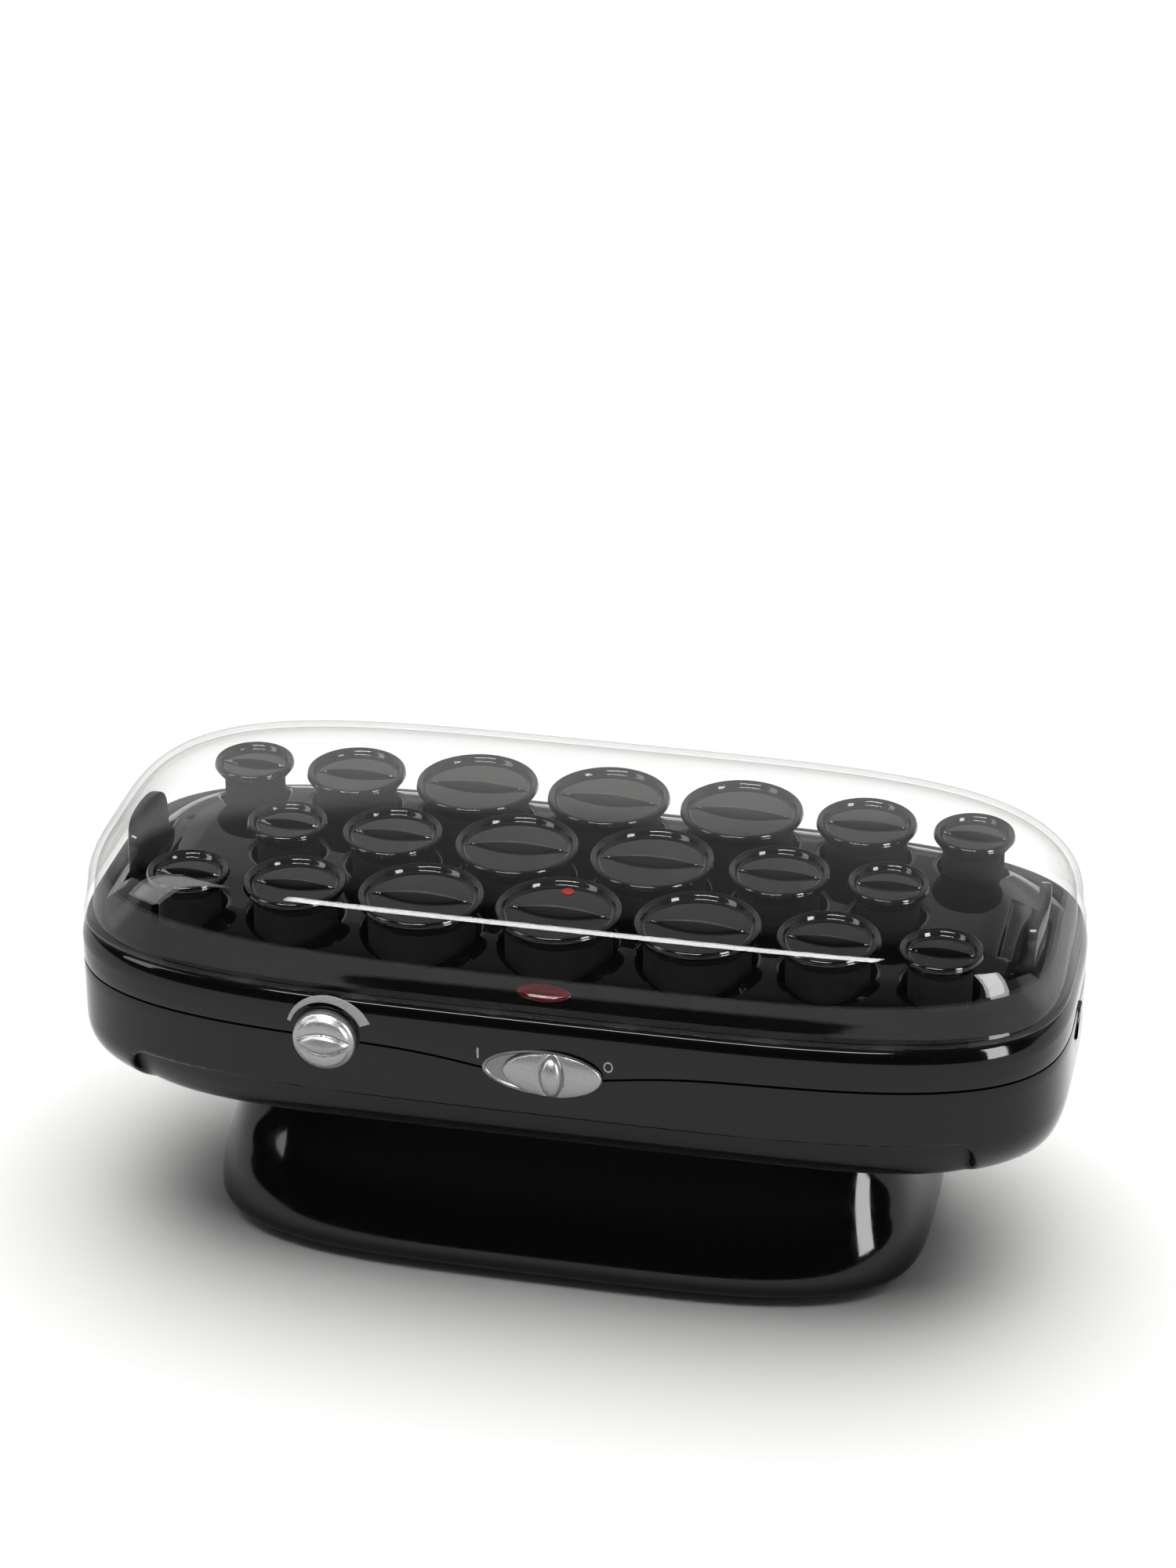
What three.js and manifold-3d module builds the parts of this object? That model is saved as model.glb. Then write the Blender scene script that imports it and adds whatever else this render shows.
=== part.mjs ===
// A heated hair-roller set in millimetres, +Z up, +X to the right and +Y to the back.
// Twenty flocked rollers stand on heated posts in an oval case on a flared foot, under a clear lid.
// The origin is on the surface the set stands on, below the middle of the case.
import * as THREE from "three";
import { mergeVertices } from "three/addons/utils/BufferGeometryUtils.js";
import Module from "manifold-3d";

const wasm = await Module();
wasm.setup();

// ---------- driving dimensions ----------
const GAP = 0.3; // left between two pieces that touch
const WALL = 2.5; // case and foot

const ROLLER_SIZES = {
  small: { core: 19, bore: 14.4 },
  medium: { core: 25, bore: 19.4 },
  large: { core: 32, bore: 25.6 },
};
const CAP_OVERHANG = 2.9; // a cap's rim past its roller's core
const CAP_HEIGHT = 5.5;
const CAP_PLUG = 3; // depth of the cap's plug in the core
const RIM_WIDTH = 2.4;
const DISH_DEPTH = 1.8;
const FIN_WIDTH = 4.6;
const RIM_GAP = { large_large: 3.7, large_medium: 4.3, medium_small: 5.1 };
const END_ROOM = 25.6; // from the outermost caps to the case's ends
const SIDE_ROOM = 13.16; // from the front and back caps to the case's sides

const CASE_POWER = 3.9; // squareness of the oval plan
const PAD_HEIGHT = 2; // rubber pads under the foot
const FOOT_HEIGHT = 44;
const BELLY_HEIGHT = 20; // rounded underside, from the foot up to the crease
const LOWER_BAND = 18.5; // from the crease up to the seam
const UPPER_BAND = 13; // from the seam up to the ledge
const TRAY_RISE = 10; // from the ledge up to the tray's top
const CAP_CLEARANCE = 5.5; // from the tray's top up to a cap's underside
const LID_HEADROOM = 15.2; // from the caps up to the lid's outside

const BELLY_SIDE_INSET = 6; // crease: how far the belly stands back from the band's sides
const BELLY_END_INSET = 21; // and from its ends
const BELLY_POWER = 8; // the belly's plan is squarer than the case's
const CHEEK_LENGTH = 24; // an end cheek, from the case's end inwards
const CHEEK_DROP = 4.5; // the cheeks reach this far below the belly
const CHEEK_TAPER = 8.5; // their ends come in by this at the bottom
const CHEEK_PINCH = 22; // and their fronts and backs by this

const FOOT_END_INSET = 40; // the foot stands back from the case's ends
const FOOT_SIDE_INSET = 8.5; // and from its sides
const FOOT_POWER = 3.8;
const FOOT_WAIST = 7; // the foot's top is this much smaller at each end
const FOOT_LEAN = 17; // and at its front and back, which lean in
const PAD_RADIUS = 7;
const PAD_END_INSET = 33; // a pad's middle from the foot's end
const PAD_SIDE_INSET = 17.5; // and from its side

const LID_WALL = 2.2;
const LID_SETBACK = 1.1; // the lid's rim stands back from the case's side by this
const LEDGE_WIDTH = 6;
const TRAY_WALL = 2.5;
const TRAY_FLANGE = 2.6; // the tray's flange reaches this far under the ledge
const WELL_CLEARANCE = 1.6;

const PLATE_THICKNESS = 3;
const PLATE_MARGIN = 9.5; // the heater plate stands back from the belly's side by this
const POST_CLEARANCE = 1.2; // a post in its roller's bore
const POST_TOP_BELOW_CAP = 14;
const ELEMENT_THICKNESS = 2.6;
const ELEMENT_INSET = 40; // the heating element's loop, inside the belly's sides
const ELEMENT_WIDTH = 9;
const ELEMENT_BREAK = 8; // gap in the loop between its two ends

const KNOB_X = -63;
const KNOB_RISE = 0.5; // knob axis above the seam
const KNOB_RADIUS = 9.5;
const KNOB_PROUD = 6;
const KNOB_RIDGE_WIDTH = 5;
const SHAFT_RADIUS = 3;
const SWITCH_X = 2;
const SWITCH_DROP = 3.2; // switch centre below the seam
const BEZEL_LENGTH = 36;
const BEZEL_HEIGHT = 15.5;
const BEZEL_PROUD = 0.2;
const SLIDER_LENGTH = 29.6;
const SLIDER_THICKNESS = 3;
const SLIDER_RIDGE_WIDTH = 6;
const SLIDER_TRAVEL = 6;
const STEM = 4;
const BOARD_DEPTH = 3; // the control board's face behind the case's inside
const BOARD_THICKNESS = 1.6;
const BOARD_OVERHANG = 12; // the board past the knob's axis and the slider's middle
const CONTROL_SIZE = 14; // side of the dial control's and the switch's bodies
const CONTROL_DEPTH = 4.5;
const BOARD_CLEARANCE = 1.7; // the board below the tray's flange

const LENS_LENGTH = 16.5;
const LENS_WIDTH = 5.4;
const LENS_TILT = 58; // the lens lies on the tray's front shoulder, tilted back from upright
const LENS_SETBACK = 1.9; // its middle behind the tray's edge
const LENS_DROP = 3.4; // and below the tray's top
const LAMP_RADIUS = 2.2;
const LAMP_LENGTH = 10;

const LATCH_INSET = 14; // a latch arm's inner face, from the case's end
const LATCH_WALL = 3;
const LATCH_WIDTH = 32;
const LATCH_TOP_BELOW_CAP = 1;
const LATCH_NOSE = 1.6;
const LATCH_TRAVEL = 2.5;
const LATCH_CLEARANCE = 1; // between a latch and its slot in the tray
const TAB_WIDTH = 16;
const TAB_HEIGHT = 8;
const TAB_DROP = 9; // the tab's underside below the seam
const TAB_PROUD = 0.2;
const TAB_CLEARANCE = 0.5;

const GLAND_X = 88;
const GLAND_RADIUS = 6;
const GLAND_BORE = 3.6;
const GLAND_PROUD = 7.5;
const GLAND_FLANGE = 1.5; // thickness of the flange inside the wall
const GLAND_FLANGE_REACH = 2; // the flange past the gland's own radius
const GLAND_SINK = 2; // the flange's seat behind the wall's inside

const OVAL_STEPS = 32;
const ROUND_STEPS = 14;
const REACH = 12; // cutting bodies run this far past what they cut

// ---------- levels and shared places ----------
const FOOT_BASE = PAD_HEIGHT;
const BELLY_FLOOR = FOOT_BASE + FOOT_HEIGHT;
const CREASE = BELLY_FLOOR + BELLY_HEIGHT;
const SEAM = CREASE + LOWER_BAND;
const LEDGE = SEAM + UPPER_BAND;
const TRAY_TOP = LEDGE + TRAY_RISE;
const CAP_UNDERSIDE = TRAY_TOP + CAP_CLEARANCE;
const CAP_TOP = CAP_UNDERSIDE + CAP_HEIGHT;
const LID_TOP = CAP_TOP + LID_HEADROOM;
const ELEMENT_BASE = BELLY_FLOOR + WALL + GAP;
const PLATE_BASE = ELEMENT_BASE + ELEMENT_THICKNESS + GAP;
const CORE_BASE = PLATE_BASE + PLATE_THICKNESS + GAP;

const capRadius = (size) => ROLLER_SIZES[size].core / 2 + CAP_OVERHANG;
const OUTER_ROW = ["large", "large", "medium", "small"]; // from the middle outwards
const MIDDLE_ROW = ["large", "medium", "small"];
const LARGE_PITCH = 2 * capRadius("large") + RIM_GAP.large_large;
const ROW_PITCH = LARGE_PITCH * Math.sin(Math.PI / 3); // the large rollers stand in triangles
const front = rowOf("front", OUTER_ROW, -ROW_PITCH, 0);
const middle = rowOf("middle", MIDDLE_ROW, 0, LARGE_PITCH / 2);
const back = rowOf("back", OUTER_ROW, ROW_PITCH, 0);
const rollers = [...front, ...middle, ...back];
const rowEnd = front.at(-1).x + capRadius(front.at(-1).size);
const HALF_LENGTH = rowEnd + END_ROOM;
const HALF_DEPTH = ROW_PITCH + capRadius("large") + SIDE_ROOM;

const FRONT = -HALF_DEPTH;
const BELLY_HALF_LENGTH = HALF_LENGTH - BELLY_END_INSET;
const BELLY_HALF_DEPTH = HALF_DEPTH - BELLY_SIDE_INSET;
const FOOT_HALF_LENGTH = HALF_LENGTH - FOOT_END_INSET;
const FOOT_HALF_DEPTH = HALF_DEPTH - FOOT_SIDE_INSET;
const TRAY_EDGE = LEDGE_WIDTH + GAP; // the tray's side from the case's side
const TRAY_SKIRT = TRAY_EDGE + TRAY_WALL; // the inside of the tray's side
const FLANGE_TOP = LEDGE - WALL - GAP; // the tray's flange, under the ledge
const FLANGE_BASE = FLANGE_TOP - TRAY_WALL;
const KNOB_Z = SEAM + KNOB_RISE;
const SWITCH_Z = SEAM - SWITCH_DROP;
const SLIDER_X = SWITCH_X + (BEZEL_LENGTH - SLIDER_LENGTH) / 2;
const BOARD_FRONT = WALL + BOARD_DEPTH; // the board's face behind the case's front
const LATCH_X = HALF_LENGTH - LATCH_INSET;
const TAB_BASE = SEAM - TAB_DROP;
const GLAND_Z = CREASE + LOWER_BAND / 2;

const COLOURS = {
  body: { color: 0x101011, roughness: 0.12, metalness: 0 },
  tray: { color: 0x0c0c0d, roughness: 0.08, metalness: 0 },
  lid: { color: 0xeef1f3, roughness: 0.03, metalness: 0, transparent: true, opacity: 0.25 },
  cap: { color: 0x232325, roughness: 0.15, metalness: 0 },
  velvet: { color: 0x0a0a0a, roughness: 0.95, metalness: 0 },
  silver: { color: 0xb9bbbd, roughness: 0.35, metalness: 0.9 },
  lens: { color: 0xb00812, roughness: 0.1, metalness: 0 },
  lamp: { color: 0xff6a3a, roughness: 0.2, metalness: 0 },
  aluminium: { color: 0xa9abad, roughness: 0.4, metalness: 1 },
  element: { color: 0x8a8f93, roughness: 0.5, metalness: 0.8 },
  inner: { color: 0x2b2d30, roughness: 0.6, metalness: 0 },
  rubber: { color: 0x151515, roughness: 0.9, metalness: 0 },
};

const group = new THREE.Group();

// ---------- solids ----------
// A closed geometry as a manifold-3d solid.
function solid(geometry) {
  const bare = geometry.index ? geometry.toNonIndexed() : geometry.clone();
  bare.deleteAttribute("normal");
  bare.deleteAttribute("uv");
  const merged = mergeVertices(bare, 1e-4);
  return new wasm.Manifold(
    new wasm.Mesh({
      numProp: 3,
      vertProperties: new Float32Array(merged.attributes.position.array),
      triVerts: new Uint32Array(merged.index.array),
    }),
  );
}

// A solid as a three.js geometry.
function geometryOf(body) {
  const mesh = body.getMesh();
  const geometry = new THREE.BufferGeometry();
  geometry.setAttribute("position", new THREE.BufferAttribute(mesh.vertProperties, 3));
  geometry.setIndex(new THREE.BufferAttribute(mesh.triVerts, 1));
  geometry.computeVertexNormals();
  return geometry;
}

function addPiece(name, body, finish, place = [0, 0, 0]) {
  const mesh = new THREE.Mesh(geometryOf(body), new THREE.MeshStandardMaterial(COLOURS[finish]));
  mesh.name = name;
  mesh.position.set(...place);
  group.add(mesh);
}

// A level oval ring of points.
function oval(halfX, halfY, z, power = CASE_POWER) {
  const points = [];
  for (let i = 0; i < OVAL_STEPS; i++) {
    const angle = ((i + 0.5) * 2 * Math.PI) / OVAL_STEPS;
    const cos = Math.cos(angle);
    const sin = Math.sin(angle);
    const x = Math.sign(cos) * Math.abs(cos) ** (2 / power);
    const y = Math.sign(sin) * Math.abs(sin) ** (2 / power);
    points.push(new THREE.Vector3(halfX * x, halfY * y, z));
  }
  return points;
}

// A skin over rings of equal count. A ring-shaped body joins its last ring to its first;
// any other is closed by flat ends. Rings run so that faces point out.
function loft(rings, ringShaped = false) {
  const count = rings[0].length;
  const corners = rings.flat().flatMap((p) => [p.x, p.y, p.z]);
  const faces = [];
  const bands = ringShaped ? rings.length : rings.length - 1;
  for (let r = 0; r < bands; r++) {
    const low = r * count;
    const high = ((r + 1) % rings.length) * count;
    for (let i = 0; i < count; i++) {
      const j = (i + 1) % count;
      faces.push(low + i, low + j, high + j, low + i, high + j, high + i);
    }
  }
  if (!ringShaped) {
    const last = (rings.length - 1) * count;
    for (let i = 1; i < count - 1; i++) {
      faces.push(0, i + 1, i);
      faces.push(last, last + i, last + i + 1);
    }
  }
  const geometry = new THREE.BufferGeometry();
  geometry.setAttribute("position", new THREE.Float32BufferAttribute(corners, 3));
  geometry.setIndex(faces);
  return solid(geometry);
}

// Rings at given insets from a half length and half depth: [[inset, z, inset at the ends], ...].
function insetRings(halfX, halfY, steps, power) {
  return steps.map(([inset, z, ends = inset]) => oval(halfX - ends, halfY - inset, z, power));
}

function block(x0, x1, y0, y1, z0, z1) {
  const box = new THREE.BoxGeometry(x1 - x0, y1 - y0, z1 - z0);
  return solid(box.translate((x0 + x1) / 2, (y0 + y1) / 2, (z0 + z1) / 2));
}

// A round bar along Z from z0 to z1.
function bar(radius, z0, z1, steps = ROUND_STEPS) {
  const tube = new THREE.CylinderGeometry(radius, radius, z1 - z0, steps);
  return solid(tube.rotateX(Math.PI / 2).translate(0, 0, (z0 + z1) / 2));
}

// A turned body about Z from its profile, listed anticlockwise with r to the right.
function turned(profile, steps = ROUND_STEPS) {
  const points = profile.map(([r, z]) => new THREE.Vector2(r, z));
  return solid(new THREE.LatheGeometry(points, steps).rotateX(Math.PI / 2));
}

// A pointed oval plate, two equal arcs end to end, from z0 to z1.
function almond(length, width, z0, z1, steps = 7) {
  const radius = (length ** 2 + width ** 2) / (4 * width);
  const half = Math.asin(length / 2 / radius);
  const shape = new THREE.Shape();
  for (const side of [1, -1]) {
    for (let i = 0; i < steps; i++) {
      const angle = side * (half - (2 * half * i) / steps);
      const x = radius * Math.sin(angle);
      const y = side * (radius * Math.cos(angle) - radius + width / 2);
      if (side === 1 && i === 0) shape.moveTo(x, y);
      else shape.lineTo(x, y);
    }
  }
  const plate = new THREE.ExtrudeGeometry(shape, { depth: z1 - z0, bevelEnabled: false });
  return solid(plate.translate(0, 0, z0));
}

// Turns a body drawn facing +Z so that it faces the front, -Y, with its own Y up.
const facingFront = (body) => body.rotate([90, 0, 0]);

// ---------- rollers ----------
// One row of rollers from the middle outwards, in both directions, with its first centre at firstX.
function rowOf(name, sizesFromMiddle, y, firstX) {
  const places = [];
  let x = firstX;
  sizesFromMiddle.forEach((size, i) => {
    if (i > 0) {
      const before = sizesFromMiddle[i - 1];
      x += capRadius(before) + RIM_GAP[`${before}_${size}`] + capRadius(size);
    }
    places.push({ size, x, y });
    if (x > 0) places.push({ size, x: -x, y });
  });
  places.sort((a, b) => a.x - b.x);
  return places.map((place, i) => ({ ...place, name: `${name}_${i + 1}` }));
}

// A flocked tube, open at both ends.
function barrelBody({ core, bore }) {
  return turned([
    [bore / 2, CORE_BASE],
    [core / 2, CORE_BASE],
    [core / 2, CAP_UNDERSIDE - GAP],
    [bore / 2, CAP_UNDERSIDE - GAP],
    [bore / 2, CORE_BASE],
  ]);
}

// A cap with a raised rim, a dished top, a finger grip across it and a plug below.
function capBody(size) {
  const rim = capRadius(size);
  const plug = ROLLER_SIZES[size].bore / 2 - GAP;
  const dish = CAP_TOP - DISH_DEPTH;
  const cap = turned([
    [0, CAP_UNDERSIDE - CAP_PLUG],
    [plug, CAP_UNDERSIDE - CAP_PLUG],
    [plug, CAP_UNDERSIDE],
    [rim, CAP_UNDERSIDE],
    [rim, CAP_TOP],
    [rim - RIM_WIDTH, CAP_TOP],
    [rim - RIM_WIDTH, dish],
    [0, dish],
  ]);
  const fin = almond(2 * (rim - RIM_WIDTH) - 1, FIN_WIDTH, dish - 1, CAP_TOP - 0.2, 3);
  return cap.add(fin);
}

for (const { name, size, x, y } of rollers) {
  addPiece(`${name}_barrel`, barrelBody(ROLLER_SIZES[size]), "velvet", [x, y, 0]);
  addPiece(`${name}_cap`, capBody(size), "cap", [x, y, 0]);
}

// ---------- cuts shared by the two case shells ----------
// Round hole for the knob's shaft, almond hole for the switch and windows for the latch tabs.
function caseCuts() {
  const shaft = facingFront(bar(SHAFT_RADIUS + 2 * GAP, -REACH, REACH));
  const recess = facingFront(
    almond(BEZEL_LENGTH + 2 * GAP, BEZEL_HEIGHT + 2 * GAP, -REACH, REACH),
  );
  const tabWindow = block(
    -HALF_LENGTH - REACH,
    HALF_LENGTH + REACH,
    -TAB_WIDTH / 2 - TAB_CLEARANCE,
    TAB_WIDTH / 2 + TAB_CLEARANCE,
    TAB_BASE - TAB_CLEARANCE,
    TAB_BASE + TAB_HEIGHT + TAB_CLEARANCE,
  );
  return shaft
    .translate([KNOB_X, FRONT, KNOB_Z])
    .add(recess.translate([SWITCH_X, FRONT, SWITCH_Z]))
    .add(tabWindow);
}

// ---------- lower case ----------
// The band, the rounded belly under it and an end cheek at each end, all inset by the same wall.
function lowerForm(inset, top) {
  const floor = BELLY_FLOOR + inset;
  const band = loft(insetRings(HALF_LENGTH, HALF_DEPTH, [[inset, CREASE + inset], [inset, top]]));
  const bellySteps = [
    [inset + 12, floor],
    [inset + 6, floor + 1.4],
    [inset + 2, floor + 4.5],
    [inset, floor + 9],
    [inset, CREASE + inset + 1],
  ];
  const belly = loft(insetRings(BELLY_HALF_LENGTH, BELLY_HALF_DEPTH, bellySteps, BELLY_POWER));
  const cheekFloor = floor - CHEEK_DROP;
  const cheekRise = CREASE + inset + 1 - cheekFloor;
  const hidden = inset + 0.2; // keeps the cheeks' skin just inside the band's
  const cheekSteps = [0, 0.12, 0.4, 1].map((part) => {
    const taper = (1 - part) ** 2.4;
    const z = cheekFloor + cheekRise * part;
    return [hidden + CHEEK_PINCH * taper, z, hidden + CHEEK_TAPER * taper];
  });
  const cheeks = loft(insetRings(HALF_LENGTH, HALF_DEPTH, cheekSteps));
  const inner = HALF_LENGTH - CHEEK_LENGTH + inset;
  const middle = block(-inner, inner, -HALF_DEPTH, HALF_DEPTH, 0, CREASE + inset);
  return band.add(belly).add(cheeks.subtract(middle));
}

const lowerShell = lowerForm(0, SEAM - GAP)
  .subtract(lowerForm(WALL, SEAM + 1))
  .subtract(caseCuts());

// ---------- cord gland, with the hole it sits in ----------
const backWallAt = (x) => HALF_DEPTH * (1 - (x / HALF_LENGTH) ** CASE_POWER) ** (1 / CASE_POWER);
const glandWall = backWallAt(GLAND_X);
const glandSeat = glandWall - WALL - GLAND_SINK;
const glandEnd = WALL + GLAND_SINK + GLAND_PROUD;
const glandRim = GLAND_RADIUS + GLAND_FLANGE_REACH;
const glandBody = turned([
  [0, 0],
  [glandRim, 0],
  [glandRim, GLAND_FLANGE],
  [GLAND_RADIUS, GLAND_FLANGE],
  [GLAND_RADIUS - 1, glandEnd],
  [GLAND_BORE, glandEnd],
  [GLAND_BORE, GLAND_FLANGE],
  [0, GLAND_FLANGE],
]);
const glandHole = bar(GLAND_RADIUS + GAP, 0, glandEnd + REACH);
const towardsBack = (body) => body.rotate([-90, 0, 0]).translate([GLAND_X, glandSeat, GLAND_Z]);
addPiece("cord_gland", towardsBack(glandBody), "rubber");
const glandPocket = bar(glandRim + GAP, -1, GLAND_FLANGE + GAP);
addPiece(
  "lower_case",
  lowerShell.subtract(towardsBack(glandHole)).subtract(towardsBack(glandPocket)),
  "body",
);

// ---------- upper case: a band with a ledge turned in over the tray's flange ----------
addPiece(
  "upper_case",
  loft(
    insetRings(HALF_LENGTH, HALF_DEPTH, [
      [0, SEAM],
      [0, LEDGE - 1.5],
      [1, LEDGE],
      [LEDGE_WIDTH, LEDGE],
      [LEDGE_WIDTH, LEDGE - WALL],
      [WALL, LEDGE - WALL],
      [WALL, SEAM],
    ]),
    true,
  ).subtract(caseCuts()),
  "body",
);

// ---------- tray: a raised deck with round shoulders, a flange and a well for each roller ----------
const deck = loft(
  insetRings(HALF_LENGTH, HALF_DEPTH, [
    [TRAY_SKIRT + 5, TRAY_TOP - TRAY_WALL],
    [TRAY_SKIRT + 0.5, TRAY_TOP - TRAY_WALL - 3.5],
    [TRAY_SKIRT, FLANGE_BASE],
    [TRAY_EDGE - TRAY_FLANGE, FLANGE_BASE],
    [TRAY_EDGE - TRAY_FLANGE, FLANGE_TOP],
    [TRAY_EDGE, FLANGE_TOP],
    [TRAY_EDGE, LEDGE + 1],
    [TRAY_EDGE + 0.8, TRAY_TOP - 5],
    [TRAY_EDGE + 2.4, TRAY_TOP - 2],
    [TRAY_EDGE + 5, TRAY_TOP],
  ]),
);
const wells = rollers.map(({ size, x, y }) => {
  const radius = ROLLER_SIZES[size].core / 2 + WELL_CLEARANCE;
  return bar(radius, TRAY_TOP - REACH, TRAY_TOP + 1, 12).translate([x, y, 0]);
});
const slotHalf = LATCH_WIDTH / 2 + LATCH_CLEARANCE;
const latchSlot = block(
  LATCH_X - LATCH_TRAVEL - LATCH_CLEARANCE,
  LATCH_X + LATCH_WALL + LATCH_CLEARANCE,
  -slotHalf,
  slotHalf,
  FLANGE_BASE - 1,
  TRAY_TOP + 1,
);
const trayCuts = [...wells, latchSlot, latchSlot.rotate([0, 0, 180])].reduce((all, cut) => all.add(cut));
const lensSeat = [0, FRONT + TRAY_EDGE + LENS_SETBACK, TRAY_TOP - LENS_DROP];
const onShoulder = (body) => body.rotate([LENS_TILT, 0, 0]).translate(lensSeat);
const lensHole = onShoulder(almond(LENS_LENGTH + 2 * GAP, LENS_WIDTH + 2 * GAP, -6, 4));
addPiece("tray", deck.subtract(trayCuts).subtract(lensHole), "tray");
addPiece("indicator_lens", onShoulder(almond(LENS_LENGTH, LENS_WIDTH, -1.6, 1.2)), "lens");
const lamp = bar(LAMP_RADIUS, -LAMP_LENGTH / 2, LAMP_LENGTH / 2, 10).rotate([0, 90, 0]);
const lampSpace = SIDE_ROOM + CAP_OVERHANG - TRAY_SKIRT; // between the tray's side and a front roller
const lampY = FRONT + TRAY_SKIRT + lampSpace / 2;
addPiece("indicator_lamp", lamp.translate([0, lampY, LEDGE - LAMP_RADIUS]), "lamp");

// ---------- lid ----------
const LID_CROWN = 1.8; // the lid's ends come in faster than its front and back by this factor
const lidShoulder = [
  [0, LEDGE + GAP],
  [0.5, LEDGE + 8],
  [1.5, LEDGE + 15],
  [3.5, LEDGE + 21],
  [7, LID_TOP - 9.8],
  [12, LID_TOP - 6],
  [19, LID_TOP - 3.3],
  [28, LID_TOP - 1.6],
  [42, LID_TOP - 0.2],
];
const crownStart = 2; // the wall below this inset is the same all round
const lidSteps = lidShoulder.map(([inset, z]) => {
  const ends = inset > crownStart ? inset * LID_CROWN : inset;
  return [inset, z, ends];
});
const lidInsideSteps = lidSteps.map(([inset, z, ends], i) => {
  const lean = i / (lidSteps.length - 1);
  const side = LID_WALL * (1 - lean);
  return [inset + side, i ? z - LID_WALL * lean : LEDGE - 1, ends + side];
});
const lidForm = (steps) =>
  loft(insetRings(HALF_LENGTH - LID_SETBACK, HALF_DEPTH - LID_SETBACK, steps));
addPiece("lid", lidForm(lidSteps).subtract(lidForm(lidInsideSteps)), "lid");

// ---------- foot and its rubber pads ----------
const footSteps = [
  [3.5, FOOT_BASE, 3.5],
  [1, FOOT_BASE + 1.5, 1],
  [0, FOOT_BASE + 5, 0],
  [FOOT_LEAN * 0.15, FOOT_BASE + 13, FOOT_WAIST * 0.1],
  [FOOT_LEAN * 0.4, FOOT_BASE + 23, FOOT_WAIST * 0.5],
  [FOOT_LEAN * 0.7, FOOT_BASE + 33, FOOT_WAIST * 0.85],
  [FOOT_LEAN, BELLY_FLOOR - GAP, FOOT_WAIST],
];
const footInsideSteps = [
  [WALL + 1, FOOT_BASE + WALL, WALL + 1],
  [WALL + 0.5, FOOT_BASE + 8, WALL],
  [WALL + FOOT_LEAN * 0.75, FOOT_BASE + 33, WALL + FOOT_WAIST],
  [WALL + FOOT_LEAN, BELLY_FLOOR + 1, WALL + FOOT_WAIST],
];
const footForm = (steps) => loft(insetRings(FOOT_HALF_LENGTH, FOOT_HALF_DEPTH, steps, FOOT_POWER));
addPiece("foot", footForm(footSteps).subtract(footForm(footInsideSteps)), "body");
const pad = bar(PAD_RADIUS, 0, PAD_HEIGHT - GAP);
const padX = FOOT_HALF_LENGTH - PAD_END_INSET;
const padY = FOOT_HALF_DEPTH - PAD_SIDE_INSET;
for (const [end, x] of [["left", -padX], ["right", padX]]) {
  for (const [side, y] of [["front", -padY], ["back", padY]]) {
    addPiece(`rubber_foot_${side}_${end}`, pad, "rubber", [x, y, 0]);
  }
}

// ---------- heater: a plate with a post up each roller, and the element under it ----------
const plateSteps = [
  [PLATE_MARGIN, PLATE_BASE],
  [PLATE_MARGIN, PLATE_BASE + PLATE_THICKNESS],
];
let plate = loft(insetRings(BELLY_HALF_LENGTH, BELLY_HALF_DEPTH, plateSteps, BELLY_POWER));
for (const { size, x, y } of rollers) {
  const radius = ROLLER_SIZES[size].bore / 2 - POST_CLEARANCE;
  const post = bar(radius, PLATE_BASE + 1, CAP_UNDERSIDE - POST_TOP_BELOW_CAP, 8);
  plate = plate.add(post.translate([x, y, 0]));
}
addPiece("heater_plate", plate, "aluminium");
const elementTop = ELEMENT_BASE + ELEMENT_THICKNESS;
const elementForm = (inset, z0, z1) =>
  loft(insetRings(BELLY_HALF_LENGTH, BELLY_HALF_DEPTH, [[inset, z0], [inset, z1]]));
const elementBreak = block(
  -ELEMENT_BREAK / 2,
  ELEMENT_BREAK / 2,
  -BELLY_HALF_DEPTH,
  0,
  ELEMENT_BASE - 1,
  elementTop + 1,
);
addPiece(
  "heating_element",
  elementForm(ELEMENT_INSET, ELEMENT_BASE, elementTop)
    .subtract(elementForm(ELEMENT_INSET + ELEMENT_WIDTH, ELEMENT_BASE - 1, elementTop + 1))
    .subtract(elementBreak),
  "element",
);

// ---------- heat knob ----------
const stemEnd = GAP - BOARD_FRONT; // the knob's shaft and the slider's stem end just before the board
const knob = turned(
  [
    [0, stemEnd],
    [SHAFT_RADIUS, stemEnd],
    [SHAFT_RADIUS, GAP],
    [KNOB_RADIUS, GAP],
    [KNOB_RADIUS, KNOB_PROUD - 3],
    [KNOB_RADIUS * 0.75, KNOB_PROUD - 1.2],
    [0, KNOB_PROUD - 0.8],
  ],
  20,
);
const ridge = almond(2 * KNOB_RADIUS - 1, KNOB_RIDGE_WIDTH, 1, KNOB_PROUD);
addPiece("knob", facingFront(knob.add(ridge)).translate([KNOB_X, FRONT, KNOB_Z]), "silver");

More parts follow.
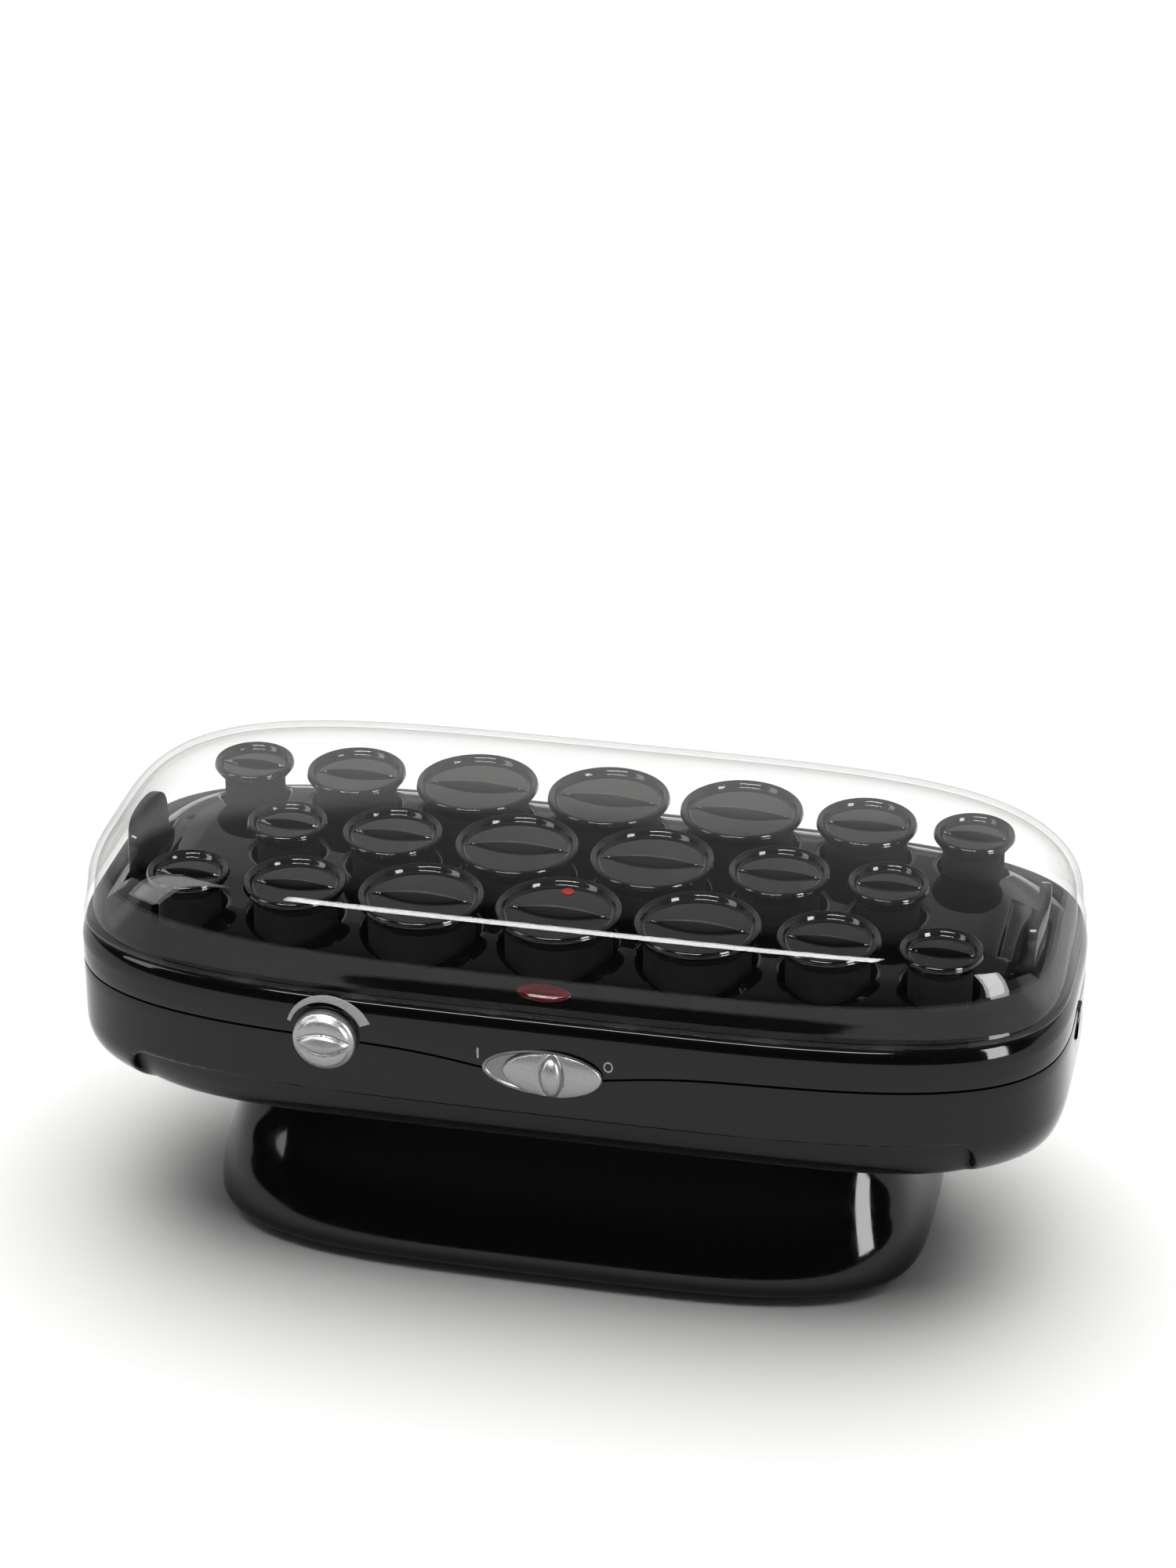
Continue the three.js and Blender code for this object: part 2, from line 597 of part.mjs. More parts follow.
// ---------- slide switch ----------
const slotHeight = STEM + 2 * GAP;
const bezelSlot = block(
  SLIDER_X - SWITCH_X - SLIDER_TRAVEL - STEM / 2 - GAP,
  SLIDER_X - SWITCH_X + STEM / 2 + GAP,
  -slotHeight / 2,
  slotHeight / 2,
  -WALL - 1,
  2,
);
const bezel = almond(BEZEL_LENGTH, BEZEL_HEIGHT, -WALL, BEZEL_PROUD).subtract(bezelSlot);
addPiece("switch_bezel", facingFront(bezel).translate([SWITCH_X, FRONT, SWITCH_Z]), "silver");
const sliderBack = BEZEL_PROUD + GAP;
const sliderFace = sliderBack + SLIDER_THICKNESS;
const sliderRidge = almond(BEZEL_HEIGHT - 2, SLIDER_RIDGE_WIDTH, sliderBack + 1, sliderFace + 2);
const slider = almond(SLIDER_LENGTH, BEZEL_HEIGHT - 0.4, sliderBack, sliderFace)
  .add(sliderRidge.rotate([0, 0, 90]))
  .add(block(-STEM / 2, STEM / 2, -STEM / 2, STEM / 2, stemEnd, sliderBack + 1));
addPiece("switch_slider", facingFront(slider).translate([SLIDER_X, FRONT, SWITCH_Z]), "silver");

// ---------- control board, with the dial control and the switch body on its back ----------
const boardFace = FRONT + BOARD_FRONT;
const boardBack = boardFace + BOARD_THICKNESS;
const controlBack = boardBack + CONTROL_DEPTH;
const boardTop = FLANGE_BASE - BOARD_CLEARANCE;
const controlHalf = CONTROL_SIZE / 2;
const board = block(
  KNOB_X - BOARD_OVERHANG,
  SLIDER_X + BOARD_OVERHANG,
  boardFace,
  boardBack,
  SWITCH_Z - controlHalf - 3,
  boardTop,
);
const dialControl = block(
  KNOB_X - controlHalf,
  KNOB_X + controlHalf,
  boardFace + 1,
  controlBack,
  KNOB_Z - controlHalf,
  boardTop - 1,
);
const switchBody = block(
  SLIDER_X - SLIDER_TRAVEL - controlHalf,
  SLIDER_X + controlHalf,
  boardFace + 1,
  controlBack,
  SWITCH_Z - controlHalf,
  SWITCH_Z + controlHalf,
);
addPiece("control_board", board.add(dialControl).add(switchBody), "inner");

// ---------- lid latches: an upright arm inside the lid, with a tab to press in the end face ----------
const latchTop = CAP_TOP - LATCH_TOP_BELOW_CAP;
const latchHalf = LATCH_WIDTH / 2;
const armBack = LATCH_X + LATCH_WALL;
const arm = block(LATCH_X, armBack, -latchHalf, latchHalf, TAB_BASE, latchTop);
const nib = block(armBack - 1, armBack + LATCH_NOSE, -latchHalf, latchHalf, latchTop - 4, latchTop - 2);
const tab = block(
  armBack - 1,
  HALF_LENGTH + TAB_PROUD,
  -TAB_WIDTH / 2,
  TAB_WIDTH / 2,
  TAB_BASE,
  TAB_BASE + TAB_HEIGHT,
);
const latch = arm.add(nib).add(tab);
addPiece("latch_left", latch.rotate([0, 0, 180]), "body");
addPiece("latch_right", latch, "body");

export default group;
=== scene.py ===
"""A heated hair-roller set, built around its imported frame: an oval case on a flared foot, a clear lid
and twenty flocked rollers."""

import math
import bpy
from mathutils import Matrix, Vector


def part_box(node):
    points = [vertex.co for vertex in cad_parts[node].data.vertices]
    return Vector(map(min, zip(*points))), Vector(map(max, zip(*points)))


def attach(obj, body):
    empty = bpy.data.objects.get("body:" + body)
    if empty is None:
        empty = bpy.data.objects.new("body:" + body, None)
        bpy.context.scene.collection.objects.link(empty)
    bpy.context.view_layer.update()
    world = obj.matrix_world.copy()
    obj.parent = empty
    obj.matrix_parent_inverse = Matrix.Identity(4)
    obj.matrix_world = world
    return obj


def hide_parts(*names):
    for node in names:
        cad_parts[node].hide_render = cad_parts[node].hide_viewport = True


bl_info = {
    "name": "Heated Hair-Roller Set",
    "version": (1, 0, 0),
    "blender": (4, 5, 0),
    "location": "View3D > Sidebar > Roller Set",
    "description": "Builds the finished look of a heated hair-roller set on its frame",
    "category": "Object",
}

import bpy
import numpy as np
from bpy.props import FloatProperty, FloatVectorProperty, IntProperty, PointerProperty
from mathutils import Matrix, Vector

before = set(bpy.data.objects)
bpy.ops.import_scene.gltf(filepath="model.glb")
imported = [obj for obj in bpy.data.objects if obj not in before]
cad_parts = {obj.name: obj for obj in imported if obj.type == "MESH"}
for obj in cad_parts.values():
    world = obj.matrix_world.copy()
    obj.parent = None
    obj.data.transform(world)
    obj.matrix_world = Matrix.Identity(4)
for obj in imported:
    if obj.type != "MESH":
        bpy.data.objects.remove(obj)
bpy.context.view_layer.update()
MM = 0.001


# ---------- places taken from the frame ----------
def node_low(node):
    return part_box(node)[0]


def node_high(node):
    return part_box(node)[1]


def node_centre(node):
    low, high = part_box(node)
    return (low + high) / 2


HALF_LENGTH = node_high("upper_case").x
HALF_DEPTH = node_high("upper_case").y
SEAM = node_low("upper_case").z
LEDGE = node_high("upper_case").z
TRAY_TOP = node_high("tray").z
CAP_TOP = node_high("front_4_cap").z
CAP_UNDERSIDE = node_high("front_4_barrel").z
CORE_BASE = node_low("front_4_barrel").z
LID_RIM = LEDGE + 0.3 * MM
CHEEK_FLOOR = node_low("lower_case").z
BELLY_FLOOR = node_high("foot").z
FOOT_BASE = node_low("foot").z
TRAY_INSET = 6.3 * MM
TAB_HEIGHT = 8 * MM
TAB_NECK = 2.2 * MM
TAB_FLARE = 5.6 * MM
TAB_BELL = 1.7
TAB_GAP = 0.45 * MM
ROLLER_NAMES = [n[: -len("_barrel")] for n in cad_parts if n.endswith("_barrel")]
RAMP_SOCKETS = ("From Min", "From Max", "To Min", "To Max")


# ---------- settings ----------
def length(name, description, millimetres):
    return FloatProperty(
        name=name, description=description, default=millimetres * MM, unit="LENGTH", precision=5
    )


def colour(name, description, rgb):
    return FloatVectorProperty(
        name=name, description=description, default=rgb, subtype="COLOR", size=3, min=0, max=1
    )


class CaseSettings(bpy.types.PropertyGroup):
    power: FloatProperty(name="Squareness", description="Power of the case's oval", default=3.9)
    wall: length("Wall", "Thickness of the case shells", 2.5)
    band: length("Lower band", "Height of the band between the crease and the seam", 18.5)
    edge: length("Edge", "Rounding of the shells' edges", 1.2)
    seam_dip: length("Seam dip", "How far the seam drops at the switch", 5.4)
    seam_reach: length("Seam reach", "How far along the case the seam's dip spreads", 30)
    belly_half_length: length("Belly half length", "Half the length of the rounded underside", 137)
    belly_inset: length("Belly inset", "How far the underside stands back at the crease", 5.5)
    belly_curl: length("Belly curl", "How far the underside's front and back turn under", 22)
    belly_end_curl: length("Belly end curl", "How far the underside's ends turn under", 12)
    belly_corner: length("Belly corner", "Rounding of the underside's corners", 5)
    cheek_rise: length("Cheek rise", "How far the end cheeks stop above the frame's", 3.5)
    cheek_inner: length("Cheek start", "Distance of the end cheeks from the middle", 127)
    cheek_taper: length("Cheek taper", "How far a cheek's end comes in at its bottom", 8)
    cheek_pinch: length("Cheek pinch", "How far a cheek's front comes in at its bottom", 26)
    cell: length("Cell", "Mesh size of the moulded shells", 1.05)
    colour: colour("Case colour", "Gloss plastic of the case and foot", (0.003, 0.003, 0.003))


class FootSettings(bpy.types.PropertyGroup):
    power: FloatProperty(name="Squareness", description="Power of the foot's oval", default=3.8)
    waist: length("Waist", "How much narrower the foot is at its top, at each end", 7)
    lean: length("Lean", "How much shallower the foot is at its top, at the front and back", 17)
    wall: length("Wall", "Thickness of the foot's wall", 2.5)
    pad_colour: colour("Pad colour", "Rubber of the four pads", (0.02, 0.02, 0.02))


class TraySettings(bpy.types.PropertyGroup):
    shoulder: length("Shoulder", "How far the deck's edge is rounded", 6)
    lean: FloatProperty(name="Lean", description="How fast the deck's border leans in", default=1.4)
    border: length("Border", "Width of the deck's plain edge at its front and back", 7.7)
    border_end: length("End border", "Width of the deck's plain edge at its ends", 4.2)
    lip: length("Lip", "Rounding of each well's edge", 0.8)
    wall: length("Wall", "Thickness of the deck", 2.5)
    well_clearance: length("Well clearance", "Gap around a roller in its well", 1.6)
    pocket: length("Pocket", "Depth of the recess beside each latch", 1.6)
    cell: length("Cell", "Mesh size of the deck", 0.72)
    colour: colour("Tray colour", "Gloss plastic of the deck", (0.002, 0.002, 0.002))


class LidSettings(bpy.types.PropertyGroup):
    wall: length("Wall", "Thickness of the clear lid", 2.0)
    bead: length("Bead", "How proud the lid's rim is", 0.5)
    tint: colour("Tint", "Grey that the lid mirrors where it is looked along", (0.62, 0.62, 0.62))


class RollerSettings(bpy.types.PropertyGroup):
    flock: length("Flock", "Thickness of the flock on a core", 0.5)
    dish: length("Dish", "Depth of a cap's dish", 1.9)
    grip: FloatProperty(name="Grip", description="Half length of the grip in cap radii", default=0.72)
    bridge: FloatProperty(name="Bridge", description="Half width of the grip in cap radii", default=0.2)
    segments: IntProperty(name="Segments", description="Divisions round a roller", default=112)
    velvet: colour("Velvet", "Flock of the rollers", (0.0015, 0.0015, 0.0015))
    cap: colour("Cap", "Smoky plastic of the caps", (0.004, 0.004, 0.0035))
    dot: colour("Dot", "Heat dot on one cap", (0.42, 0.012, 0.016))


class ControlSettings(bpy.types.PropertyGroup):
    silver: colour("Silver", "Satin finish of the knob", (0.34, 0.34, 0.345))
    switch_silver: colour("Switch silver", "Satin finish of the slide switch", (0.31, 0.31, 0.315))
    lens: colour("Lens", "Red indicator lens", (0.17, 0.0, 0.004))
    print_colour: colour("Print", "Printed scale and marks", (0.42, 0.43, 0.43))
    lens_back: length("Lens back", "How far the lens sits behind its place in the frame", 3.2)
    scale_inner: length("Scale inner", "Inner radius of the printed heat scale", 11.4)
    scale_thin: length("Scale thin end", "Width of the scale at its low end", 1.0)
    scale_wide: length("Scale wide end", "Width of the scale at its high end", 3.4)
    mark_height: length("Mark height", "Height of the switch marks", 3.4)


class StageSettings(bpy.types.PropertyGroup):
    azimuth: FloatProperty(
        name="Azimuth",
        description="Camera's angle round the set",
        default=math.radians(12.09),
        unit="ROTATION",
    )
    elevation: FloatProperty(
        name="Elevation",
        description="Camera's height angle",
        default=math.radians(27.89),
        unit="ROTATION",
    )
    distance: FloatProperty(name="Distance", description="Camera distance", default=1.3, unit="LENGTH")
    lens: FloatProperty(name="Lens", description="Focal length in millimetres", default=99.47)
    aim_right: length("Aim right", "How far right of the middle of the caps the camera looks", 1.08)
    aim_up: length("Aim up", "How far above the middle of the caps the camera looks", 19.67)
    floor: colour("Floor", "Pale studio floor", (0.93, 0.926, 0.918))


# ---------- geometry ----------
def oval(half_x, half_y, power, count):
    """Points evenly spaced round a squared oval."""
    angle = np.linspace(0, 2 * np.pi, 8 * count, endpoint=False)
    across, up = np.abs(np.cos(angle) / half_x), np.abs(np.sin(angle) / half_y)
    reach = (across**power + up**power) ** (-1 / power)
    points = np.stack([reach * np.cos(angle), reach * np.sin(angle)], 1)
    closed = np.vstack([points, points[:1]])
    along = np.concatenate([[0], np.cumsum(np.hypot(*np.diff(closed, axis=0).T))])
    stops = np.linspace(0, along[-1], count, endpoint=False)
    return np.stack([np.interp(stops, along, closed[:, i]) for i in range(2)], 1)


def smooth_path(points, per_span):
    """A smooth curve through points, with per_span steps in each span."""
    p = np.array(points, float)
    p = np.vstack([2 * p[0] - p[1], p, 2 * p[-1] - p[-2]])
    t = np.linspace(0, 1, per_span, endpoint=False)[:, None]
    spans = []
    for a, b, c, d in zip(p, p[1:], p[2:], p[3:]):
        spans.append(
            0.5 * (2 * b + (c - a) * t + (2 * a - 5 * b + 4 * c - d) * t**2 + (3 * b - a - 3 * c + d) * t**3)
        )
    return np.vstack(spans + [p[-2:-1]])


def loft(rings, ring_shaped=False):
    """Vertices and faces over rings of equal count, outside to the right of their path."""
    rings = np.array(rings, float)
    total, count = rings.shape[:2]
    faces = []
    for r in range(total if ring_shaped else total - 1):
        low, high = r * count, (r + 1) % total * count
        for i in range(count):
            j = (i + 1) % count
            faces.append((low + i, low + j, high + j, high + i))
    vertices = [tuple(v) for v in rings.reshape(-1, 3)]
    if not ring_shaped:
        for ring, turn in ((0, -1), (total - 1, 1)):
            centre = len(vertices)
            vertices.append(tuple(rings[ring].mean(0)))
            edge = [ring * count + i for i in range(count)][::turn]
            faces += [(edge[i], edge[(i + 1) % count], centre) for i in range(count)]
    return vertices, faces


def unit_circle(count):
    angle = np.linspace(0, 2 * np.pi, count, endpoint=False)
    return np.stack([np.cos(angle), np.sin(angle)], 1)


def level(outline, z):
    """A flat outline as a ring at one height."""
    return np.column_stack([outline, np.full(len(outline), z)])


def turned(profile, count):
    """Rings of a body turned about Z, from (radius, height) points."""
    circle = unit_circle(count)
    return [level(circle * max(r, 1e-6), z) for r, z in profile]


def skin(field, low, high, cell):
    """Vertices and faces of the surface where field, a signed distance in metres, is zero."""
    axes = [np.arange(a - cell, b + 2 * cell, cell) for a, b in zip(low, high)]
    grid = np.stack(np.meshgrid(*axes, indexing="ij"), -1)
    value = field(grid)
    inside = value < 0
    shape = np.array(value.shape) - 1
    total = np.zeros((*shape, 3))
    crossings = np.zeros(shape)
    for axis in range(3):
        near = [slice(None)] * 3
        far = [slice(None)] * 3
        near[axis], far[axis] = slice(0, -1), slice(1, None)
        a, b = value[tuple(near)], value[tuple(far)]
        crossed = inside[tuple(near)] != inside[tuple(far)]
        share = np.where(crossed, a / np.where(crossed, a - b, 1), 0)
        point = grid[tuple(near)].copy()
        point[..., axis] += share * cell
        others = [i for i in range(3) if i != axis]
        for u in (0, 1):
            for v in (0, 1):
                cut = [slice(None)] * 3
                for other, at in zip(others, (u, v)):
                    cut[other] = slice(at, at + shape[other])
                cut = tuple(cut)
                total += point[cut] * crossed[cut][..., None]
                crossings += crossed[cut]
    active = crossings > 0
    index = np.full(shape, -1)
    index[active] = np.arange(active.sum())
    points = total[active] / crossings[active][:, None]
    faces = []
    for axis in range(3):
        near = [slice(1, -1)] * 3
        far = [slice(1, -1)] * 3
        near[axis], far[axis] = slice(0, -1), slice(1, None)
        starts = inside[tuple(near)]
        crossed = starts != inside[tuple(far)]
        u, v = [i for i in range(3) if i != axis]
        if axis == 1:
            u, v = v, u
        where = np.argwhere(crossed)
        where += np.array([0 if i == axis else 1 for i in range(3)])
        out = starts[crossed]
        corners = []
        for du, dv in ((-1, -1), (0, -1), (0, 0), (-1, 0)):
            at = where.copy()
            at[:, u] += du
            at[:, v] += dv
            corners.append(index[tuple(at.T)])
        quads = np.stack(corners, 1)
        quads[~out] = quads[~out][:, ::-1]
        faces.append(quads)
    step = 0.02 * cell
    for _ in range(4):
        here = field(points)
        slope = np.empty_like(points)
        for axis in range(3):
            nudge = np.zeros(3)
            nudge[axis] = step
            slope[:, axis] = (field(points + nudge) - field(points - nudge)) / (2 * step)
        steepness = np.maximum((slope**2).sum(1), 0.2)
        points -= np.clip(here / steepness, -cell / 2, cell / 2)[:, None] * slope
    return points, np.vstack(faces), slope


def soft_max(a, b, reach):
    """The larger of two distances, with their corner rounded over reach."""
    blend = np.maximum(reach - np.abs(a - b), 0) / reach
    return np.maximum(a, b) + blend**2 * reach / 4


def soft_min(a, b, reach):
    return -soft_max(-a, -b, reach)


def from_oval(x, y, half_x, half_y, power):
    """Roughly how far a point is outside a squared oval."""
    u, v = np.abs(x) / half_x, np.abs(y) / half_y
    size = np.maximum((u**power + v**power) ** (1 / power), 1e-3)
    slope_x = (u / size) ** (power - 1) / half_x
    slope_y = (v / size) ** (power - 1) / half_y
    return (size - 1) / np.maximum(np.hypot(slope_x, slope_y), 1e-3)


def front_wall(x):
    """The y of the case's front at x."""
    power = bpy.context.scene.case_settings.power
    return -HALF_DEPTH * (1 - np.abs(x / HALF_LENGTH) ** power) ** (1 / power)


# ---------- pieces ----------
def mesh_of(name, vertices, faces, sharp=math.radians(40), normals=None):
    """A smooth mesh, creased where it turns by more than sharp, or with normals of its own."""
    mesh = bpy.data.meshes.new(name)
    vertices, faces = np.asarray(vertices, float), list(map(list, faces))
    mesh.from_pydata([tuple(v) for v in vertices], [], faces)
    mesh.validate()
    mesh.shade_smooth()
    if normals is None:
        mesh.set_sharp_from_angle(angle=sharp)
    else:
        mesh.normals_split_custom_set_from_vertices(normals / np.linalg.norm(normals, axis=1)[:, None])
    return mesh


def lofted(name, rings, ring_shaped=False, sharp=math.radians(40)):
    return mesh_of(name, *loft(rings, ring_shaped), sharp)


def add_piece(name, mesh, material, body, stands_for=(), place=None):
    """Puts a mesh in the scene as a piece that rides on a body and stands for CAD nodes."""
    piece = bpy.data.objects.new(name, mesh)
    bpy.context.scene.collection.objects.link(piece)
    if place is not None:
        piece.matrix_world = place
    if not mesh.materials:
        mesh.materials.append(material)
    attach(piece, body)
    if stands_for:
        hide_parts(*stands_for)
    return piece


def finish_node(node, material):
    """Gives a CAD node that stays a finished material."""
    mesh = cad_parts[node].data
    mesh.materials.clear()
    mesh.materials.append(material)


# ---------- materials ----------
class Finish:
    """A node material under construction: its Principled shader and helpers that feed it."""

    def __init__(self, name, base, roughness, **sockets):
        self.material = bpy.data.materials.new(name)
        self.material.use_nodes = True
        self.tree = self.material.node_tree
        self.shader = self.tree.nodes["Principled BSDF"]
        self.set("Base Color", (*base, 1))
        self.set("Roughness", roughness)
        for socket, value in sockets.items():
            self.set(socket.replace("_", " "), value)
        self.place = self.tree.nodes.new("ShaderNodeTexCoord").outputs["Object"]

    def set(self, socket, value):
        self.shader.inputs[socket].default_value = value

    def noise(self, scale, detail=3.0, stretch=(1, 1, 1)):
        mapping = self.tree.nodes.new("ShaderNodeMapping")
        mapping.inputs["Scale"].default_value = stretch
        texture = self.tree.nodes.new("ShaderNodeTexNoise")
        texture.inputs["Scale"].default_value = scale
        texture.inputs["Detail"].default_value = detail
        self.tree.links.new(self.place, mapping.inputs["Vector"])
        self.tree.links.new(mapping.outputs[0], texture.inputs["Vector"])
        return texture.outputs["Fac"]

    def ramp(self, source, low, high, from_low=0.3, from_high=0.7):
        """source remapped to run from low to high."""
        node = self.tree.nodes.new("ShaderNodeMapRange")
        for socket, value in zip(RAMP_SOCKETS, (from_low, from_high, low, high)):
            node.inputs[socket].default_value = value
        self.tree.links.new(source, node.inputs["Value"])
        return node.outputs["Result"]

    def math(self, operation, first, *others):
        """A sum on one socket and up to two more sockets or numbers."""
        node = self.tree.nodes.new("ShaderNodeMath")
        node.operation = operation
        self.tree.links.new(first, node.inputs[0])
        for socket, other in zip(node.inputs[1:], others):
            if isinstance(other, (int, float)):
                socket.default_value = other
            else:
                self.tree.links.new(other, socket)
        return node.outputs[0]

    def mix(self, factor, first, second):
        node = self.tree.nodes.new("ShaderNodeMix")
        node.data_type = "RGBA"
        node.inputs["A"].default_value = (*first, 1)
        node.inputs["B"].default_value = (*second, 1)
        self.tree.links.new(factor, node.inputs["Factor"])
        return node.outputs["Result"]

    def feed(self, source, socket):
        self.tree.links.new(source, self.shader.inputs[socket])

    def bump(self, height, strength, distance):
        node = self.tree.nodes.new("ShaderNodeBump")
        node.inputs["Strength"].default_value = strength
        node.inputs["Distance"].default_value = distance
        previous = self.shader.inputs["Normal"].links
        if previous:
            self.tree.links.new(previous[0].from_socket, node.inputs["Normal"])
        self.tree.links.new(height, node.inputs["Height"])
        self.feed(node.outputs["Normal"], "Normal")


def tinted(rgb, factor):
    return tuple(min(1.0, c * factor) for c in rgb)


def moulded_gloss(name, base, roughness=0.06):
    """Polished black plastic with faint flow, fine dust and hairline wear."""
    finish = Finish(name, base, roughness, IOR=1.36)
    wear = finish.noise(420, 4, (1, 1, 0.35))
    finish.feed(finish.ramp(wear, roughness * 0.7, roughness * 1.7), "Roughness")
    dust = finish.noise(1900, 2)
    finish.feed(finish.mix(finish.ramp(dust, 0, 1, 0.72, 0.80), base, (0.04, 0.04, 0.04)), "Base Color")
    finish.bump(finish.noise(26, 2), 0.06, 0.3 * MM)
    return finish.material


def clear_plastic(tint):
    """Clear polished plastic: it mirrors more, and passes less, the flatter it is looked along."""
    finish = Finish("clear_lid_plastic", tint, 0.02, Metallic=1.0)
    finish.set("Specular Tint", (*tinted(tint, 0.8), 1))
    finish.feed(finish.ramp(finish.noise(700, 3), 0.0, 0.04), "Roughness")
    facing = finish.tree.nodes.new("ShaderNodeLayerWeight")
    facing.inputs["Blend"].default_value = 0.5
    flatness = finish.math("POWER", facing.outputs["Facing"], 5.0)
    film = finish.math("MULTIPLY_ADD", flatness, 0.75, 0.016)
    thickness = finish.math("POWER", facing.outputs["Facing"], 2.4)
    finish.feed(finish.math("MULTIPLY_ADD", thickness, 0.07, film), "Alpha")
    finish.feed(finish.mix(facing.outputs["Facing"], (1, 1, 1), tint), "Base Color")
    return finish.material


def satin_silver(name, base):
    """Fine-grained silver lacquer over moulded plastic."""
    finish = Finish(name, base, 0.3, Metallic=0.85)
    grain = finish.noise(2600, 2)
    finish.feed(finish.ramp(grain, 0.26, 0.4), "Roughness")
    finish.feed(finish.mix(finish.ramp(grain, 0, 1), tinted(base, 0.9), tinted(base, 1.08)), "Base Color")
    finish.bump(grain, 0.12, 0.03 * MM)
    return finish.material


def black_velvet(base):
    """Short flock: dark, soft at grazing angles, with a fine nap."""
    finish = Finish("black_velvet", base, 0.95, IOR=1.25)
    finish.set("Sheen Weight", 0.02)
    finish.set("Sheen Roughness", 0.45)
    nap = finish.noise(3200, 2, (1, 1, 0.6))
    patch = finish.noise(160, 3)
    finish.feed(finish.mix(finish.ramp(patch, 0, 1), tinted(base, 0.6), tinted(base, 1.8)), "Base Color")
    finish.bump(nap, 0.8, 0.12 * MM)
    return finish.material


def smoky_gloss(base):
    """Dark see-into plastic of the caps, polished, with light handling marks."""
    finish = Finish("smoky_gloss", base, 0.05, IOR=1.5)
    marks = finish.noise(300, 5, (1, 0.4, 1))
    finish.feed(finish.ramp(marks, 0.03, 0.09), "Roughness")
    finish.bump(finish.noise(90, 2), 0.05, 0.2 * MM)
    return finish.material


def red_plastic(name, base, roughness, glow=0.0):
    finish = Finish(name, base, roughness, IOR=1.3)
    finish.set("Coat Weight", 0.05)
    finish.set("Emission Color", (*base, 1))
    finish.set("Emission Strength", glow)
    depth = finish.noise(240, 2)
    finish.feed(finish.mix(finish.ramp(depth, 0, 1), tinted(base, 0.55), base), "Base Color")
    return finish.material


def plain_technical(name, base, roughness, metallic=0.0, grain=900):
    """Unpolished inner parts: grain in colour, roughness and surface."""
    finish = Finish(name, base, roughness, Metallic=metallic)
    texture = finish.noise(grain, 4)
    finish.feed(finish.mix(finish.ramp(texture, 0, 1), tinted(base, 0.75), tinted(base, 1.15)), "Base Color")
    finish.feed(finish.ramp(texture, roughness * 0.8, min(1, roughness * 1.2)), "Roughness")
    finish.bump(texture, 0.3, 0.05 * MM)
    return finish.material


# ---------- operators ----------
class BuildUpperCase(bpy.types.Operator):
    """Band between the seam and the ledge, with its rounded ledge and the dipped seam"""

    bl_idname = "rollerset.build_upper_case"
    bl_label = "Upper case"

    def execute(self, context):
        s = context.scene.case_settings
        count = 480
        groove = 0.25 * MM
        top = LEDGE
        ledge_inner = 6 * MM
        round_over = smooth_path(
            [
                (0, top - 5.5 * MM), (0.25 * MM, top - 4 * MM), (0.7 * MM, top - 2.4 * MM),
                (1.2 * MM, top - 1 * MM), (1.7 * MM, top - 0.25 * MM), (2.6 * MM, top),
            ],
            5,
        )
        profile = [(0.7 * MM, 0), (0.12 * MM, 0.12 * MM), (0, 0.7 * MM)]
        outline = [(inset, SEAM + groove + rise, 1.0) for inset, rise in profile]
        outline += [(0, SEAM + 4 * MM, 0.75), (0, SEAM + 7 * MM, 0.35)]
        outline += [(inset, z, 0) for inset, z in round_over]
        outline += [(ledge_inner, top, 0), (ledge_inner, top - s.wall, 0), (s.wall, top - s.wall, 0)]
        outline += [(s.wall, SEAM + 4 * MM, 0.75), (s.wall, SEAM + groove, 1.0)]
        rings = []
        for inset, z, dip in outline:
            ring = oval(HALF_LENGTH - inset, HALF_DEPTH - inset, s.power, count)
            rings.append(np.column_stack([ring, z - dip * seam_dip(ring[:, 0], ring[:, 1], s)]))
        gloss = moulded_gloss("case_gloss", s.colour)
        mesh = lofted("upper_case_shell", rings, ring_shaped=True)
        add_piece("upper_case_shell", mesh, gloss, "root", ["upper_case"])
        return {"FINISHED"}


def seam_dip(x, y, s):
    """How far the seam drops at x, on the front only."""
    switch = node_centre("switch_bezel").x
    return np.where(y < 0, s.seam_dip * np.exp(-(((x - switch) / s.seam_reach) ** 2)), 0)


